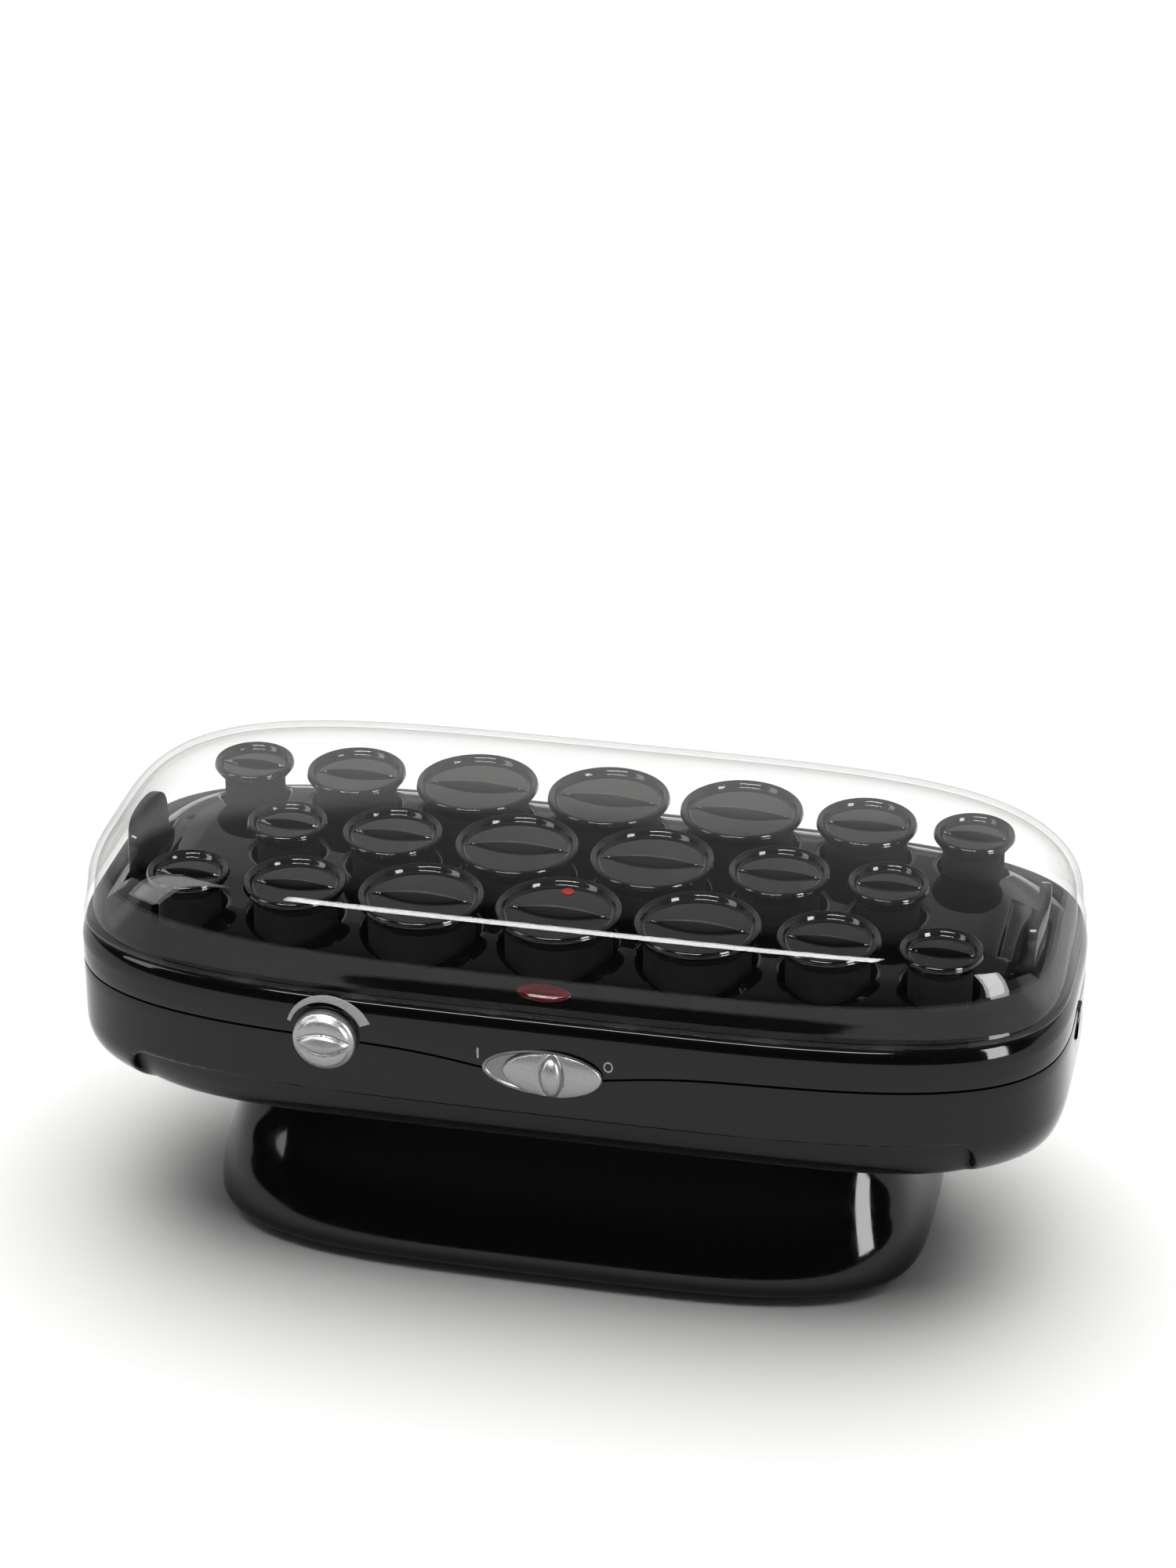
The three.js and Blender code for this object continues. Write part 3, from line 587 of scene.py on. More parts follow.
class BuildLowerCase(bpy.types.Operator):
    """Lower band, rounded belly and end cheeks, moulded as one shell with a window for each latch tab"""

    bl_idname = "rollerset.build_lower_case"
    bl_label = "Lower case"

    def execute(self, context):
        s = context.scene.case_settings
        crease = SEAM - s.band
        cheek_floor = CHEEK_FLOOR + s.cheek_rise
        drop = crease - cheek_floor
        window_low, window_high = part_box("latch_right")
        window_top = window_low.z + TAB_HEIGHT

        def outside(p):
            x, y, z = p[..., 0], p[..., 1], p[..., 2]
            down = np.clip((crease - z) / drop, 0, 1)
            taper = down**2.2
            side = from_oval(
                x, y, HALF_LENGTH - s.cheek_taper * taper, HALF_DEPTH - s.cheek_pinch * taper, s.power
            )
            hull = soft_max(side, cheek_floor - z, 1.8 * MM)
            notch = soft_max(np.abs(x) - s.cheek_inner, z - crease, 7 * MM)
            hull = soft_max(hull, -notch, 1.3 * MM)
            part = np.clip((crease - z) / (crease - BELLY_FLOOR), 0, 1) * 0.95
            under = 1 - np.sqrt(1 - part**2)
            steep = s.belly_curl * part / np.sqrt(1 - part**2) / (crease - BELLY_FLOOR)
            side = from_oval(x, y, HALF_LENGTH, HALF_DEPTH, s.power) + s.belly_inset + s.belly_curl * under
            end = np.abs(x) - s.belly_half_length + s.belly_end_curl * under
            belly = soft_max(side, end, s.belly_corner) / np.sqrt(1 + steep**2)
            belly = soft_max(belly, BELLY_FLOOR - z, 2 * MM)
            belly = soft_max(belly, z - crease - 4 * MM, 2 * MM)
            return soft_min(hull, belly, 4.5 * MM)

        def field(p):
            x, y, z = p[..., 0], p[..., 1], p[..., 2]
            outer = outside(p)
            shell = np.maximum(outer, -(outer + s.wall))
            shell = np.maximum(shell, z - (SEAM - 1.6 * MM - seam_dip(x, y, s)))
            share = np.clip((window_top - z) / (window_top - window_low.z), 0, 1)
            tab = np.abs(y) - TAB_NECK - (TAB_FLARE * share**TAB_BELL) - TAB_GAP
            tab = np.maximum(tab, np.abs(z - (window_low.z + window_top) / 2) - TAB_HEIGHT / 2 - TAB_GAP)
            tab = np.maximum(tab, HALF_LENGTH - 9 * MM - np.abs(x))
            return soft_max(shell, -tab, 0.6 * MM)

        low = Vector((-HALF_LENGTH, -HALF_DEPTH, CHEEK_FLOOR))
        high = Vector((HALF_LENGTH, HALF_DEPTH, SEAM))
        vertices, faces, _ = skin(field, low, high, s.cell)
        gloss = moulded_gloss("lower_case_gloss", s.colour)
        mesh = mesh_of("lower_case_shell", vertices, faces, math.radians(60))
        add_piece("lower_case_shell", mesh, gloss, "root", ["lower_case"])
        self.lip(s, gloss)
        return {"FINISHED"}

    @staticmethod
    def lip(s, gloss):
        """The shell's top edge, along the seam."""
        edge = [
            (0.05, -7.0), (-0.02, -5.0), (-0.02, -0.9), (0.06, -0.4), (0.3, -0.2), (0.8, -0.1),
            (1.8, -0.1), (2.5, -0.4), (2.55, -4.0),
        ]
        rings = []
        for inset, below in edge:
            ring = oval(HALF_LENGTH - inset * MM, HALF_DEPTH - inset * MM, s.power, 480)
            top = SEAM - seam_dip(ring[:, 0], ring[:, 1], s)
            rings.append(np.column_stack([ring, top + below * MM]))
        mesh = lofted("lower_case_lip", rings, ring_shaped=True)
        add_piece("lower_case_lip", mesh, gloss, "root")


class BuildFoot(bpy.types.Operator):
    """Flared foot with its rubber pads"""

    bl_idname = "rollerset.build_foot"
    bl_label = "Foot and pads"

    def execute(self, context):
        s = context.scene.foot_settings
        case = context.scene.case_settings
        high = node_high("foot")
        height = high.z - FOOT_BASE
        # each step: front and back inset, height, end inset
        steps = [
            (6 * MM, 0, 6 * MM), (3 * MM, 0.2 * MM, 3 * MM), (1 * MM, 1.5 * MM, 1 * MM), (0, 5 * MM, 0),
            (s.lean * 0.15, 13 * MM, s.waist * 0.1), (s.lean * 0.4, 23 * MM, s.waist * 0.5),
            (s.lean * 0.7, 33 * MM, s.waist * 0.85), (s.lean, height, s.waist),
        ]
        outside = smooth_path(steps, 7)
        above_floor = [step for step in outside[::-1] if step[1] > s.wall]
        inside = [(side + s.wall, z, end + s.wall) for side, z, end in above_floor]
        rings = [self.ring(s, high, *step) for step in [*outside, *inside]]
        gloss = moulded_gloss("foot_gloss", case.colour)
        add_piece("foot_shell", lofted("foot_shell", rings), gloss, "root", ["foot"])
        rubber = plain_technical("pad_rubber", s.pad_colour, 0.85)
        for node in sorted(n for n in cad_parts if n.startswith("rubber_foot_")):
            low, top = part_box(node)
            middle = (low + top) / 2
            radius = (top.x - low.x) / 2
            rise = top.z - low.z + 0.3 * MM
            profile = smooth_path(
                [
                    (0.0, 0), (radius - 1 * MM, 0), (radius - 0.2 * MM, 0.3 * MM), (radius, 1 * MM),
                    (radius, rise),
                ],
                4,
            )
            mesh = lofted(node, turned(profile, 48))
            place = Matrix.Translation((middle.x, middle.y, low.z))
            add_piece(node + "_pad", mesh, rubber, "root", [node], place)
        return {"FINISHED"}

    @staticmethod
    def ring(s, high, side, z, end):
        return level(oval(high.x - end, high.y - side, s.power, 320), FOOT_BASE + z)


class BuildTray(bpy.types.Operator):
    """Glossy deck with rounded shoulders, a lipped well for each roller and a recess beside each latch"""

    bl_idname = "rollerset.build_tray"
    bl_label = "Tray"

    def execute(self, context):
        s = context.scene.tray_settings
        case = context.scene.case_settings
        half_x = HALF_LENGTH - TRAY_INSET
        half_y = HALF_DEPTH - TRAY_INSET
        wells = []
        for name in ROLLER_NAMES:
            middle = node_centre(name + "_barrel")
            radius = (node_high(name + "_barrel").x - node_low(name + "_barrel").x) / 2
            wells.append((middle.x, middle.y, radius + s.well_clearance))
        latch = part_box("latch_right")
        slot_x = latch[0].x + 2.5 * MM
        slot_half = latch[1].y + 1 * MM
        slot_back, slot_reach = 2.25 * MM, 3.75 * MM
        pocket_back, pocket_reach = 5.5 * MM, 6.5 * MM
        base = LEDGE - 6 * MM

        def field(p):
            x, y, z = p[..., 0], p[..., 1], p[..., 2]
            side = from_oval(x, y, half_x, half_y, case.power)
            slope = (side + s.lean * (z - LEDGE)) / math.hypot(1, s.lean)
            outer = soft_max(soft_max(slope, side, 1.5 * MM), z - TRAY_TOP, s.shoulder)
            inner = outer + s.wall
            past_sides = np.abs(y) - slot_half
            pocket = np.maximum(np.abs(np.abs(x) - slot_x + pocket_back) - pocket_reach, past_sides)
            pocket = soft_max(pocket, TRAY_TOP - s.pocket - z, 0.8 * MM)
            deck = soft_max(outer, -pocket, 0.8 * MM)
            for at_x, at_y, radius in wells:
                hole = radius - np.hypot(x - at_x, y - at_y)
                deck = soft_max(deck, hole, s.lip * 2)
            slot = np.maximum(np.abs(np.abs(x) - slot_x + slot_back) - slot_reach, past_sides)
            deck = soft_max(deck, -slot, 0.6 * MM)
            return np.maximum(np.maximum(deck, -inner), base - z)

        low = Vector((-half_x, -half_y, base))
        high = Vector((half_x, half_y, TRAY_TOP))
        vertices, faces, normals = skin(field, low, high, s.cell)
        gloss = moulded_gloss("tray_gloss", s.colour, 0.03)
        mesh = mesh_of("tray_deck", vertices, faces, normals=normals)
        add_piece("tray_deck", mesh, gloss, "root", ["tray"])
        self.border(s, case, gloss, half_x, half_y)
        return {"FINISHED"}

    @staticmethod
    def border(s, case, gloss, half_x, half_y):
        """The deck's leaning edge, from the ledge up to the latch slots and the wells."""
        proud = 0.07 * MM
        steep = math.hypot(1, s.lean)
        rings = []
        for share in np.linspace(0, 1, 16):
            ring = oval(half_x - s.border_end * share, half_y - s.border * share, case.power, 640)
            side = from_oval(ring[:, 0], ring[:, 1], half_x, half_y, case.power)
            z = LEDGE - side / s.lean
            for _ in range(6):
                slope = (side + s.lean * (z - LEDGE)) / steep
                z -= soft_max(slope, z - TRAY_TOP, s.shoulder) * steep / s.lean
            rings.append(np.column_stack([ring, z + proud]))
        inner = rings[-1] - (0, 0, 0.4 * MM)
        outer = rings[0] * (1, 1, 0) + (0, 0, LEDGE - 1 * MM)
        mesh = lofted("tray_border", [outer, *rings, inner], ring_shaped=True)
        add_piece("tray_border", mesh, gloss, "root")


class BuildLid(bpy.types.Operator):
    """Clear domed lid with a beaded rim"""

    bl_idname = "rollerset.build_lid"
    bl_label = "Lid"

    def execute(self, context):
        s = context.scene.lid_settings
        power = context.scene.case_settings.power
        high = node_high("lid")
        top = high.z
        # each step: front and back inset, height, end inset
        steps = [
            (1.0 * MM, LID_RIM + 2.6 * MM, 0), (2.4 * MM, LEDGE + 8 * MM, 0.5 * MM),
            (4.3 * MM, LEDGE + 15 * MM, 1.5 * MM), (6.4 * MM, LEDGE + 21 * MM, 4.8 * MM),
            (8.8 * MM, top - 9.8 * MM, 11.2 * MM), (13 * MM, top - 6 * MM, 20.4 * MM),
            (19.5 * MM, top - 3.4 * MM, 33.3 * MM), (28 * MM, top - 1.9 * MM, 49.8 * MM),
            (42 * MM, top - 0.75 * MM, 75.6 * MM), (55 * MM, top - 0.15 * MM, 99.5 * MM),
        ]
        path = smooth_path(steps, 6)
        sides, heights = self.set_in(path[:, 0], path[:, 1], s.wall)
        ends, end_heights = self.set_in(path[:, 2], path[:, 1], s.wall)
        inner = np.column_stack([sides, heights, np.interp(heights, end_heights, ends)])
        foot_side, foot_end = path[0][0], path[0][2]
        rim_in = [
            (foot_side + 1.2 * MM, LID_RIM, foot_end + 1.2 * MM), (sides[0], LID_RIM + 0.3 * MM, ends[0]),
        ]
        bead = ((s.bead - 0.4 * MM, 0), (s.bead, 0.5 * MM), (s.bead, 1.6 * MM))
        rim_out = [(foot_side - proud, LID_RIM + rise, foot_end - proud) for proud, rise in bead]
        outer_rings = [self.ring(high, power, *step) for step in [*rim_out, *path]]
        inner_rings = [self.ring(high, power, *step) for step in [*rim_in, *inner]]
        crown = 0.13 * MM
        shares = (0.85, 0.65, 0.4, 0.15)
        rings = [self.drawn_in(inner_rings[-1], share, crown) for share in shares[::-1]]
        rings += inner_rings[::-1] + outer_rings
        rings += [self.drawn_in(outer_rings[-1], share, crown) for share in shares]
        mesh = lofted("lid_dome", rings, sharp=math.radians(50))
        add_piece("lid_dome", mesh, clear_plastic(s.tint), "lid", ["lid"])
        return {"FINISHED"}

    @staticmethod
    def set_in(inset, z, wall):
        """The insets and heights of the inside of a wall."""
        slope = np.stack([np.gradient(z), -np.gradient(inset)])
        across = wall * slope / np.hypot(*slope)
        return inset + across[0], z + across[1]

    @staticmethod
    def ring(high, power, side, z, end):
        return level(oval(high.x - end, high.y - side, power, 400), z)

    @staticmethod
    def drawn_in(ring, share, crown):
        """A ring shrunk towards the middle and lifted a little."""
        smaller = ring * (share, share, 1)
        smaller[:, 2] += crown * (1 - share**2)
        return smaller


class BuildRollers(bpy.types.Operator):
    """Flocked barrels and gripped caps, one set of meshes for each size"""

    bl_idname = "rollerset.build_rollers"
    bl_label = "Rollers"

    def execute(self, context):
        s = context.scene.roller_settings
        velvet = black_velvet(s.velvet)
        smoky = smoky_gloss(s.cap)
        meshes = {}
        dice = np.random.default_rng(7)
        for name in ROLLER_NAMES:
            core = round(node_high(name + "_barrel").y - node_low(name + "_barrel").y, 4) / 2
            cap = round(node_high(name + "_cap").y - node_low(name + "_cap").y, 4) / 2
            if core not in meshes:
                meshes[core] = (self.barrel_mesh(s, core), self.cap_mesh(s, cap))
            barrel, top = meshes[core]
            middle = node_centre(name + "_barrel")
            turn = Matrix.Rotation(math.radians(dice.uniform(-2.5, 2.5)), 4, "Z")
            place = Matrix.Translation((middle.x, middle.y, 0)) @ turn
            body = "roller_" + name
            add_piece(name + "_sleeve", barrel, velvet, body, [name + "_barrel"], place)
            add_piece(name + "_top", top, smoky, body, [name + "_cap"], place)
        self.heat_dot(s, node_centre("front_4_cap"), node_high("front_4_cap").y)
        return {"FINISHED"}

    @staticmethod
    def barrel_mesh(s, core):
        bore = core - 3 * MM
        rim = 2.2 * MM
        profile = [
            (bore, CORE_BASE), (core - 0.4 * MM, CORE_BASE), (core, CORE_BASE + 0.4 * MM),
            (core, CORE_BASE + rim), (core - s.flock, CORE_BASE + rim + 0.2 * MM),
            (core - s.flock + 0.3 * MM, CORE_BASE + rim + 0.7 * MM),
            (core - 0.1 * MM, CORE_BASE + rim + 1.6 * MM), (core - 0.1 * MM, CAP_UNDERSIDE),
            (bore, CAP_UNDERSIDE),
        ]
        return lofted("sleeve", turned(profile, s.segments), ring_shaped=True)

    @staticmethod
    def cap_mesh(s, radius):
        """A flange with a double rim, a dish and an almond bridge across it to grip."""
        edge = smooth_path(
            [
                (2.9 * MM, 0), (2.2 * MM, 0.8 * MM), (1.1 * MM, 2.2 * MM), (0.3 * MM, 3.3 * MM),
                (0, 4.0 * MM), (0.12 * MM, 4.5 * MM),
            ],
            4,
        )
        rim = smooth_path(
            [
                (0.12 * MM, -0.8 * MM), (0.4 * MM, -0.2 * MM), (0.8 * MM, 0), (1.15 * MM, -0.2 * MM),
                (1.4 * MM, -0.4 * MM), (1.7 * MM, -0.3 * MM), (2.0 * MM, -0.5 * MM),
                (2.35 * MM, -1.1 * MM), (2.7 * MM, -s.dish + 0.2 * MM), (3.2 * MM, -s.dish),
            ],
            5,
        )
        circle = unit_circle(s.segments * 2)
        underside = CAP_UNDERSIDE + 0.3 * MM
        rings = [level(circle * (radius - 3 * MM), underside)]
        rings += [level(circle * (radius - inset), underside + rise) for inset, rise in edge]
        floor_radius = radius - rim[-1][0]
        step = 0.3 * MM
        radii = np.linspace(floor_radius - step, step / 2, int(floor_radius / step))
        inner = [(radius - r, -s.dish) for r in radii]
        reach = s.grip * radius
        for inset, fall in [*rim[1:], *inner]:
            x, y = (circle * (radius - inset)).T
            half = s.bridge * radius * np.clip(1 - (x / reach) ** 2, 0, 1)
            climb = np.clip(1 - np.abs(y) / np.maximum(half, 0.02 * MM), 0, 1)
            crest = -0.1 * MM - 1.3 * MM * (x / reach) ** 2
            height = fall + np.maximum(crest - fall, 0) * climb**0.8
            rings.append(np.column_stack([x, y, CAP_TOP + height]))
        return lofted("cap_top", rings, sharp=math.radians(75))

    @staticmethod
    def heat_dot(s, middle, edge):
        radius = 1.9 * MM
        profile = [(radius, -0.3 * MM), (radius, 0.1 * MM), (radius - 0.3 * MM, 0.35 * MM), (0, 0.5 * MM)]
        place = Matrix.Translation((middle.x, edge - 6.0 * MM, CAP_TOP - s.dish))
        mesh = lofted("heat_dot", turned(smooth_path(profile, 4), 40))
        red = red_plastic("heat_dot_red", s.dot, 0.4)
        add_piece("heat_dot", mesh, red, "roller_front_4", (), place)


def facing_front(x, y, z):
    """Places a piece drawn flat, facing +Z with its own Y up, on the front of the case."""
    return Matrix.Translation((x, y, z)) @ Matrix.Rotation(math.radians(90), 4, "X")


def plate(outline, steps):
    """A plate over an outline: each step is (inset, height) from its edge."""
    scale = np.abs(outline).max(0)
    rings = []
    for inset, height in steps:
        share = np.maximum(1 - inset / scale, 0.001)
        rings.append(level(outline * share, height))
    return rings


class BuildKnob(bpy.types.Operator):
    """Heat knob with a lens-shaped ridge, and the tapering scale printed round it"""

    bl_idname = "rollerset.build_knob"
    bl_label = "Heat knob and scale"

    def execute(self, context):
        s = context.scene.control_settings
        low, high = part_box("knob")
        radius = (high.x - low.x) / 2
        x, z = (low.x + high.x) / 2, (low.z + high.z) / 2
        wall = front_wall(x)
        proud = wall - low.y
        silver = satin_silver("satin_silver", s.silver)
        circle = unit_circle(160)
        shoulder, rim = 1.4 * MM, 3.9 * MM
        side = smooth_path(
            [
                (radius - 1 * MM, 0.1 * MM), (radius, 0.5 * MM), (radius, 2.4 * MM),
                (radius - 0.4 * MM, 3.2 * MM), (radius - shoulder, rim),
            ],
            5,
        )
        rings = [level(circle * r, h) for r, h in side]
        face = np.linspace(radius - 1.7 * MM, 0.1 * MM, 40)
        dome = proud - 1.1 * MM
        for r in face:
            px, py = (circle * r).T
            swell = rim + (dome - rim) * np.sqrt(np.clip(1 - (r / (radius - shoulder)) ** 2, 0, 1))
            reach = radius - 1.2 * MM
            fade = np.clip(1 - (px / reach) ** 2, 0, 1)
            width = 3.3 * MM * fade
            valley = np.clip(1 - np.abs(np.abs(py) - width) / (1.3 * MM), 0, 1) ** 2
            crest = np.clip(1 - np.abs(py) / np.maximum(width, 0.05 * MM), 0, 1) ** 0.8
            lift = crest * 1.1 * MM * fade - 0.55 * MM * valley * (np.abs(px) < reach)
            rings.append(np.column_stack([px, py, swell + lift]))
        mesh = lofted("knob_dial", rings, sharp=math.radians(50))
        add_piece("knob_dial", mesh, silver, "knob", ["knob"], facing_front(x, wall, z))
        shadow = moulded_gloss("knob_collar_gloss", context.scene.case_settings.colour, 0.2)
        edge, base, top = radius + 0.7 * MM, -1 * MM, 0.12 * MM
        collar = lofted("knob_collar", turned([(0, base), (edge, base), (edge, top), (0, top)], 96))
        add_piece("knob_collar", collar, shadow, "root", (), facing_front(x, wall, z))
        self.scale(s, x, z)
        return {"FINISHED"}

    @staticmethod
    def scale(s, x, z):
        """A crescent band that widens clockwise from the low end to the high end."""
        angle = np.radians(np.linspace(162, 24, 72))
        share = np.linspace(0, 1, len(angle))
        width = s.scale_thin + (s.scale_wide - s.scale_thin) * share
        vertices = []
        for side in (0, 1):
            radius = s.scale_inner + side * width
            px, pz = x + radius * np.cos(angle), z + radius * np.sin(angle)
            vertices.append(np.column_stack([px, front_wall(px) - 0.06 * MM, pz]))
        back = [v + (0, 0.4 * MM, 0) for v in vertices]
        rings = np.stack([vertices[0], vertices[1], back[1], back[0]], 1)
        points = rings.reshape(-1, 3)
        faces = []
        for i in range(len(angle) - 1):
            for j in range(4):
                k = (j + 1) % 4
                faces.append((4 * i + j, 4 * i + k, 4 * (i + 1) + k, 4 * (i + 1) + j))
        last = 4 * (len(angle) - 1)
        faces += [(3, 2, 1, 0), (last, last + 1, last + 2, last + 3)]
        ink = plain_technical("scale_print", s.print_colour, 0.55, 0.1, 2500)
        mesh = mesh_of("heat_scale", points, faces, math.radians(30))
        add_piece("heat_scale", mesh, ink, "root")


class BuildSwitch(bpy.types.Operator):
    """Slide switch: almond bezel, slider with its grip ridge, and the on and off marks"""

    bl_idname = "rollerset.build_switch"
    bl_label = "Slide switch"

    def execute(self, context):
        s = context.scene.control_settings
        silver = satin_silver("switch_silver", s.switch_silver)
        # The bezel's pan is the switch silver darkened to 0.6: painted shade for its recess.
        shaded_pan = satin_silver("bezel_silver_painted_shade", tinted(s.switch_silver, 0.6))
        low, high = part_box("switch_bezel")
        x, z = (low.x + high.x) / 2, (low.z + high.z) / 2
        wall = front_wall(x)
        half = np.array([(high.x - low.x) / 2, (high.z - low.z) / 2])
        outline = oval(half[0], half[1], 1.85, 160)
        steps = [
            (0, -1 * MM), (0, 0.2 * MM), (0.2 * MM, 0.5 * MM), (0.6 * MM, 0.6 * MM),
            (0.95 * MM, 0.45 * MM), (1.3 * MM, 0.12 * MM), (4 * MM, 0.1 * MM),
        ]
        place = facing_front(x, wall, z)
        mesh = lofted("bezel_plate", plate(outline, steps))
        add_piece("bezel_plate", mesh, shaded_pan, "root", ["switch_bezel"], place)
        low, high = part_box("switch_slider")
        sx = (low.x + high.x) / 2
        half = np.array([(high.x - low.x) / 2, (high.z - low.z) / 2])
        outline = oval(half[0], half[1], 1.9, 200)
        rim = 1.35 * MM
        rings = plate(outline, [(0, 0.62 * MM), (0, 1.0 * MM), (0.2 * MM, rim)])
        shares = np.linspace(0.97, 0.01, 44)
        ridge_half = np.array([3.3 * MM, half[1] - 0.4 * MM])
        for share in shares:
            px, py = (outline * share).T
            dome = rim + 1.7 * MM * (1 - share**2) ** 0.8
            away = (px / ridge_half[0]) ** 2 + (py / ridge_half[1]) ** 2
            inside = np.clip(1 - away, 0, 1)
            groove = np.exp(-(((np.sqrt(away) - 1.05) / 0.12) ** 2))
            rings.append(np.column_stack([px, py, dome + 1.9 * MM * np.sqrt(inside) - 0.35 * MM * groove]))
        place = facing_front(sx, wall, z)
        mesh = lofted("slider_button", rings, sharp=math.radians(50))
        add_piece("slider_button", mesh, silver, "switch_slider", ["switch_slider"], place)
        self.marks(s, z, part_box("switch_bezel"))
        return {"FINISHED"}

    @staticmethod
    def marks(s, z, bezel):
        ink = bpy.data.materials["scale_print"]
        tall = s.mark_height / 2
        thick = 0.3 * MM
        base, top = -0.2 * MM, 0.07 * MM
        inner = tall * 0.72
        outer = inner + thick * 1.6
        off = turned([(inner, base), (outer, base), (outer, top), (inner, top)], 64)
        off = [ring * (0.82, 1.05, 1) for ring in off]
        corners = np.array([(-thick, -tall), (thick, -tall), (thick, tall), (-thick, tall)])
        bar = [level(corners, h) for h in (base, top)]
        marks = (
            ("mark_off", off, True, bezel[1].x + 1.6 * MM),
            ("mark_on", bar, False, bezel[0].x - 1.2 * MM),
        )
        for name, rings, shaped, at_x in marks:
            place = facing_front(at_x, front_wall(at_x), z + 4.2 * MM)
            mesh = lofted(name, rings, ring_shaped=shaped)
            add_piece(name, mesh, ink, "root", (), place)


class BuildIndicator(bpy.types.Operator):
    """Red marquise lens on the tray's front shoulder, and the lamp under it"""

    bl_idname = "rollerset.build_indicator"
    bl_label = "Indicator"

    def execute(self, context):
        s = context.scene.control_settings
        low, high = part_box("indicator_lens")
        tray = context.scene.tray_settings
        middle = (low + high) / 2
        middle.y += s.lens_back
        middle.z = LEDGE + (middle.y + HALF_DEPTH - TRAY_INSET) / tray.lean
        tilt = Matrix.Rotation(math.atan(1 / tray.lean), 4, "X")
        outline = oval((high.x - low.x) / 2, 2.9 * MM, 1.75, 120)
        rim = 0.45 * MM
        rings = plate(outline, [(0, -1 * MM), (0, 0.35 * MM), (0.3 * MM, 0.6 * MM), (0.55 * MM, rim)])
        for share in np.linspace(0.82, 0.02, 14):
            rings.append(level(outline * share, rim + 0.8 * MM * (1 - share**2)))
        place = Matrix.Translation(middle) @ tilt
        red = red_plastic("indicator_red", s.lens, 0.12)
        cover = lofted("indicator_cover", rings)
        add_piece("indicator_cover", cover, red, "root", ["indicator_lens"], place)
        finish_node("indicator_lamp", red_plastic("lamp_glow", (0.9, 0.25, 0.1), 0.2, 0.3))
        return {"FINISHED"}


class BuildLatches(bpy.types.Operator):
    """Sprung lid latches: a curved arm inside each end of the lid, joined to a bell-shaped tab to press"""

    bl_idname = "rollerset.build_latches"
    bl_label = "Latches"

    def execute(self, context):
        gloss = moulded_gloss("latch_gloss", context.scene.case_settings.colour, 0.08)
        for end, side in (("left", -1), ("right", 1)):
            low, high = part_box("latch_" + end)
            inner = min(abs(low.x), abs(high.x))
            arm = self.arm(inner, high.y, low.z, high.z)
            tab = self.tab(inner + 1 * MM, max(abs(low.x), abs(high.x)), low.z)
            flip = Matrix.Rotation(math.pi if side < 0 else 0, 4, "Z")
            body = "latch_" + end
            add_piece(body + "_arm", mesh_of("latch_arm", *arm), gloss, body, [body], flip)
            add_piece(body + "_tab", mesh_of("latch_tab", *tab), gloss, body, (), flip)
        return {"FINISHED"}

    @staticmethod
    def arm(inner, half_width, low, high):
        """An upright plate with round shoulders, bent to follow the lid's end."""
        count = 64
        outline = oval(half_width, (high - low) / 2, 6, count)
        rings = []
        for inset, depth in ((0.5, 0), (0.1, 0.15), (0, 0.5), (0, 2.5), (0.1, 2.85), (0.5, 3.0)):
            share = 1 - inset * MM / np.array([half_width, (high - low) / 2])
            y, z = (outline * share).T
            bend = 2.2 * MM * (y / half_width) ** 2
            rings.append(np.column_stack([inner + depth * MM - bend + 0.4 * MM, y, z + (low + high) / 2]))
        return loft(rings)

    @staticmethod
    def tab(inner, outer, low):
        """A bell-shaped button, narrow at the seam and flared below."""
        share = np.linspace(0, 1, 20)
        half = TAB_NECK + TAB_FLARE * share**TAB_BELL
        z = low + TAB_HEIGHT * (1 - share)
        outline = np.vstack([np.column_stack([half, z]), np.column_stack([-half[::-1], z[::-1]])])
        middle = outline.mean(0)
        rings = []
        for scale, x in ((1, inner), (1, outer - 0.7 * MM), (0.97, outer - 0.25 * MM), (0.9, outer)):
            ring = middle + (outline - middle) * scale
            rings.append(np.column_stack([np.full(len(ring), x), ring]))
        return loft(rings)


class BuildHeater(bpy.types.Operator):
    """Finishes for the heater plate, its element and the control board"""

    bl_idname = "rollerset.build_heater"
    bl_label = "Heater"

    def execute(self, context):
        finish_node("heater_plate", plain_technical("cast_aluminium", (0.62, 0.63, 0.64), 0.38, 1.0, 700))
        finish_node("heating_element", plain_technical("heated_steel", (0.32, 0.31, 0.33), 0.45, 1.0, 500))
        finish_node("control_board", plain_technical("board_resin", (0.03, 0.10, 0.05), 0.55, 0.0, 600))
        return {"FINISHED"}


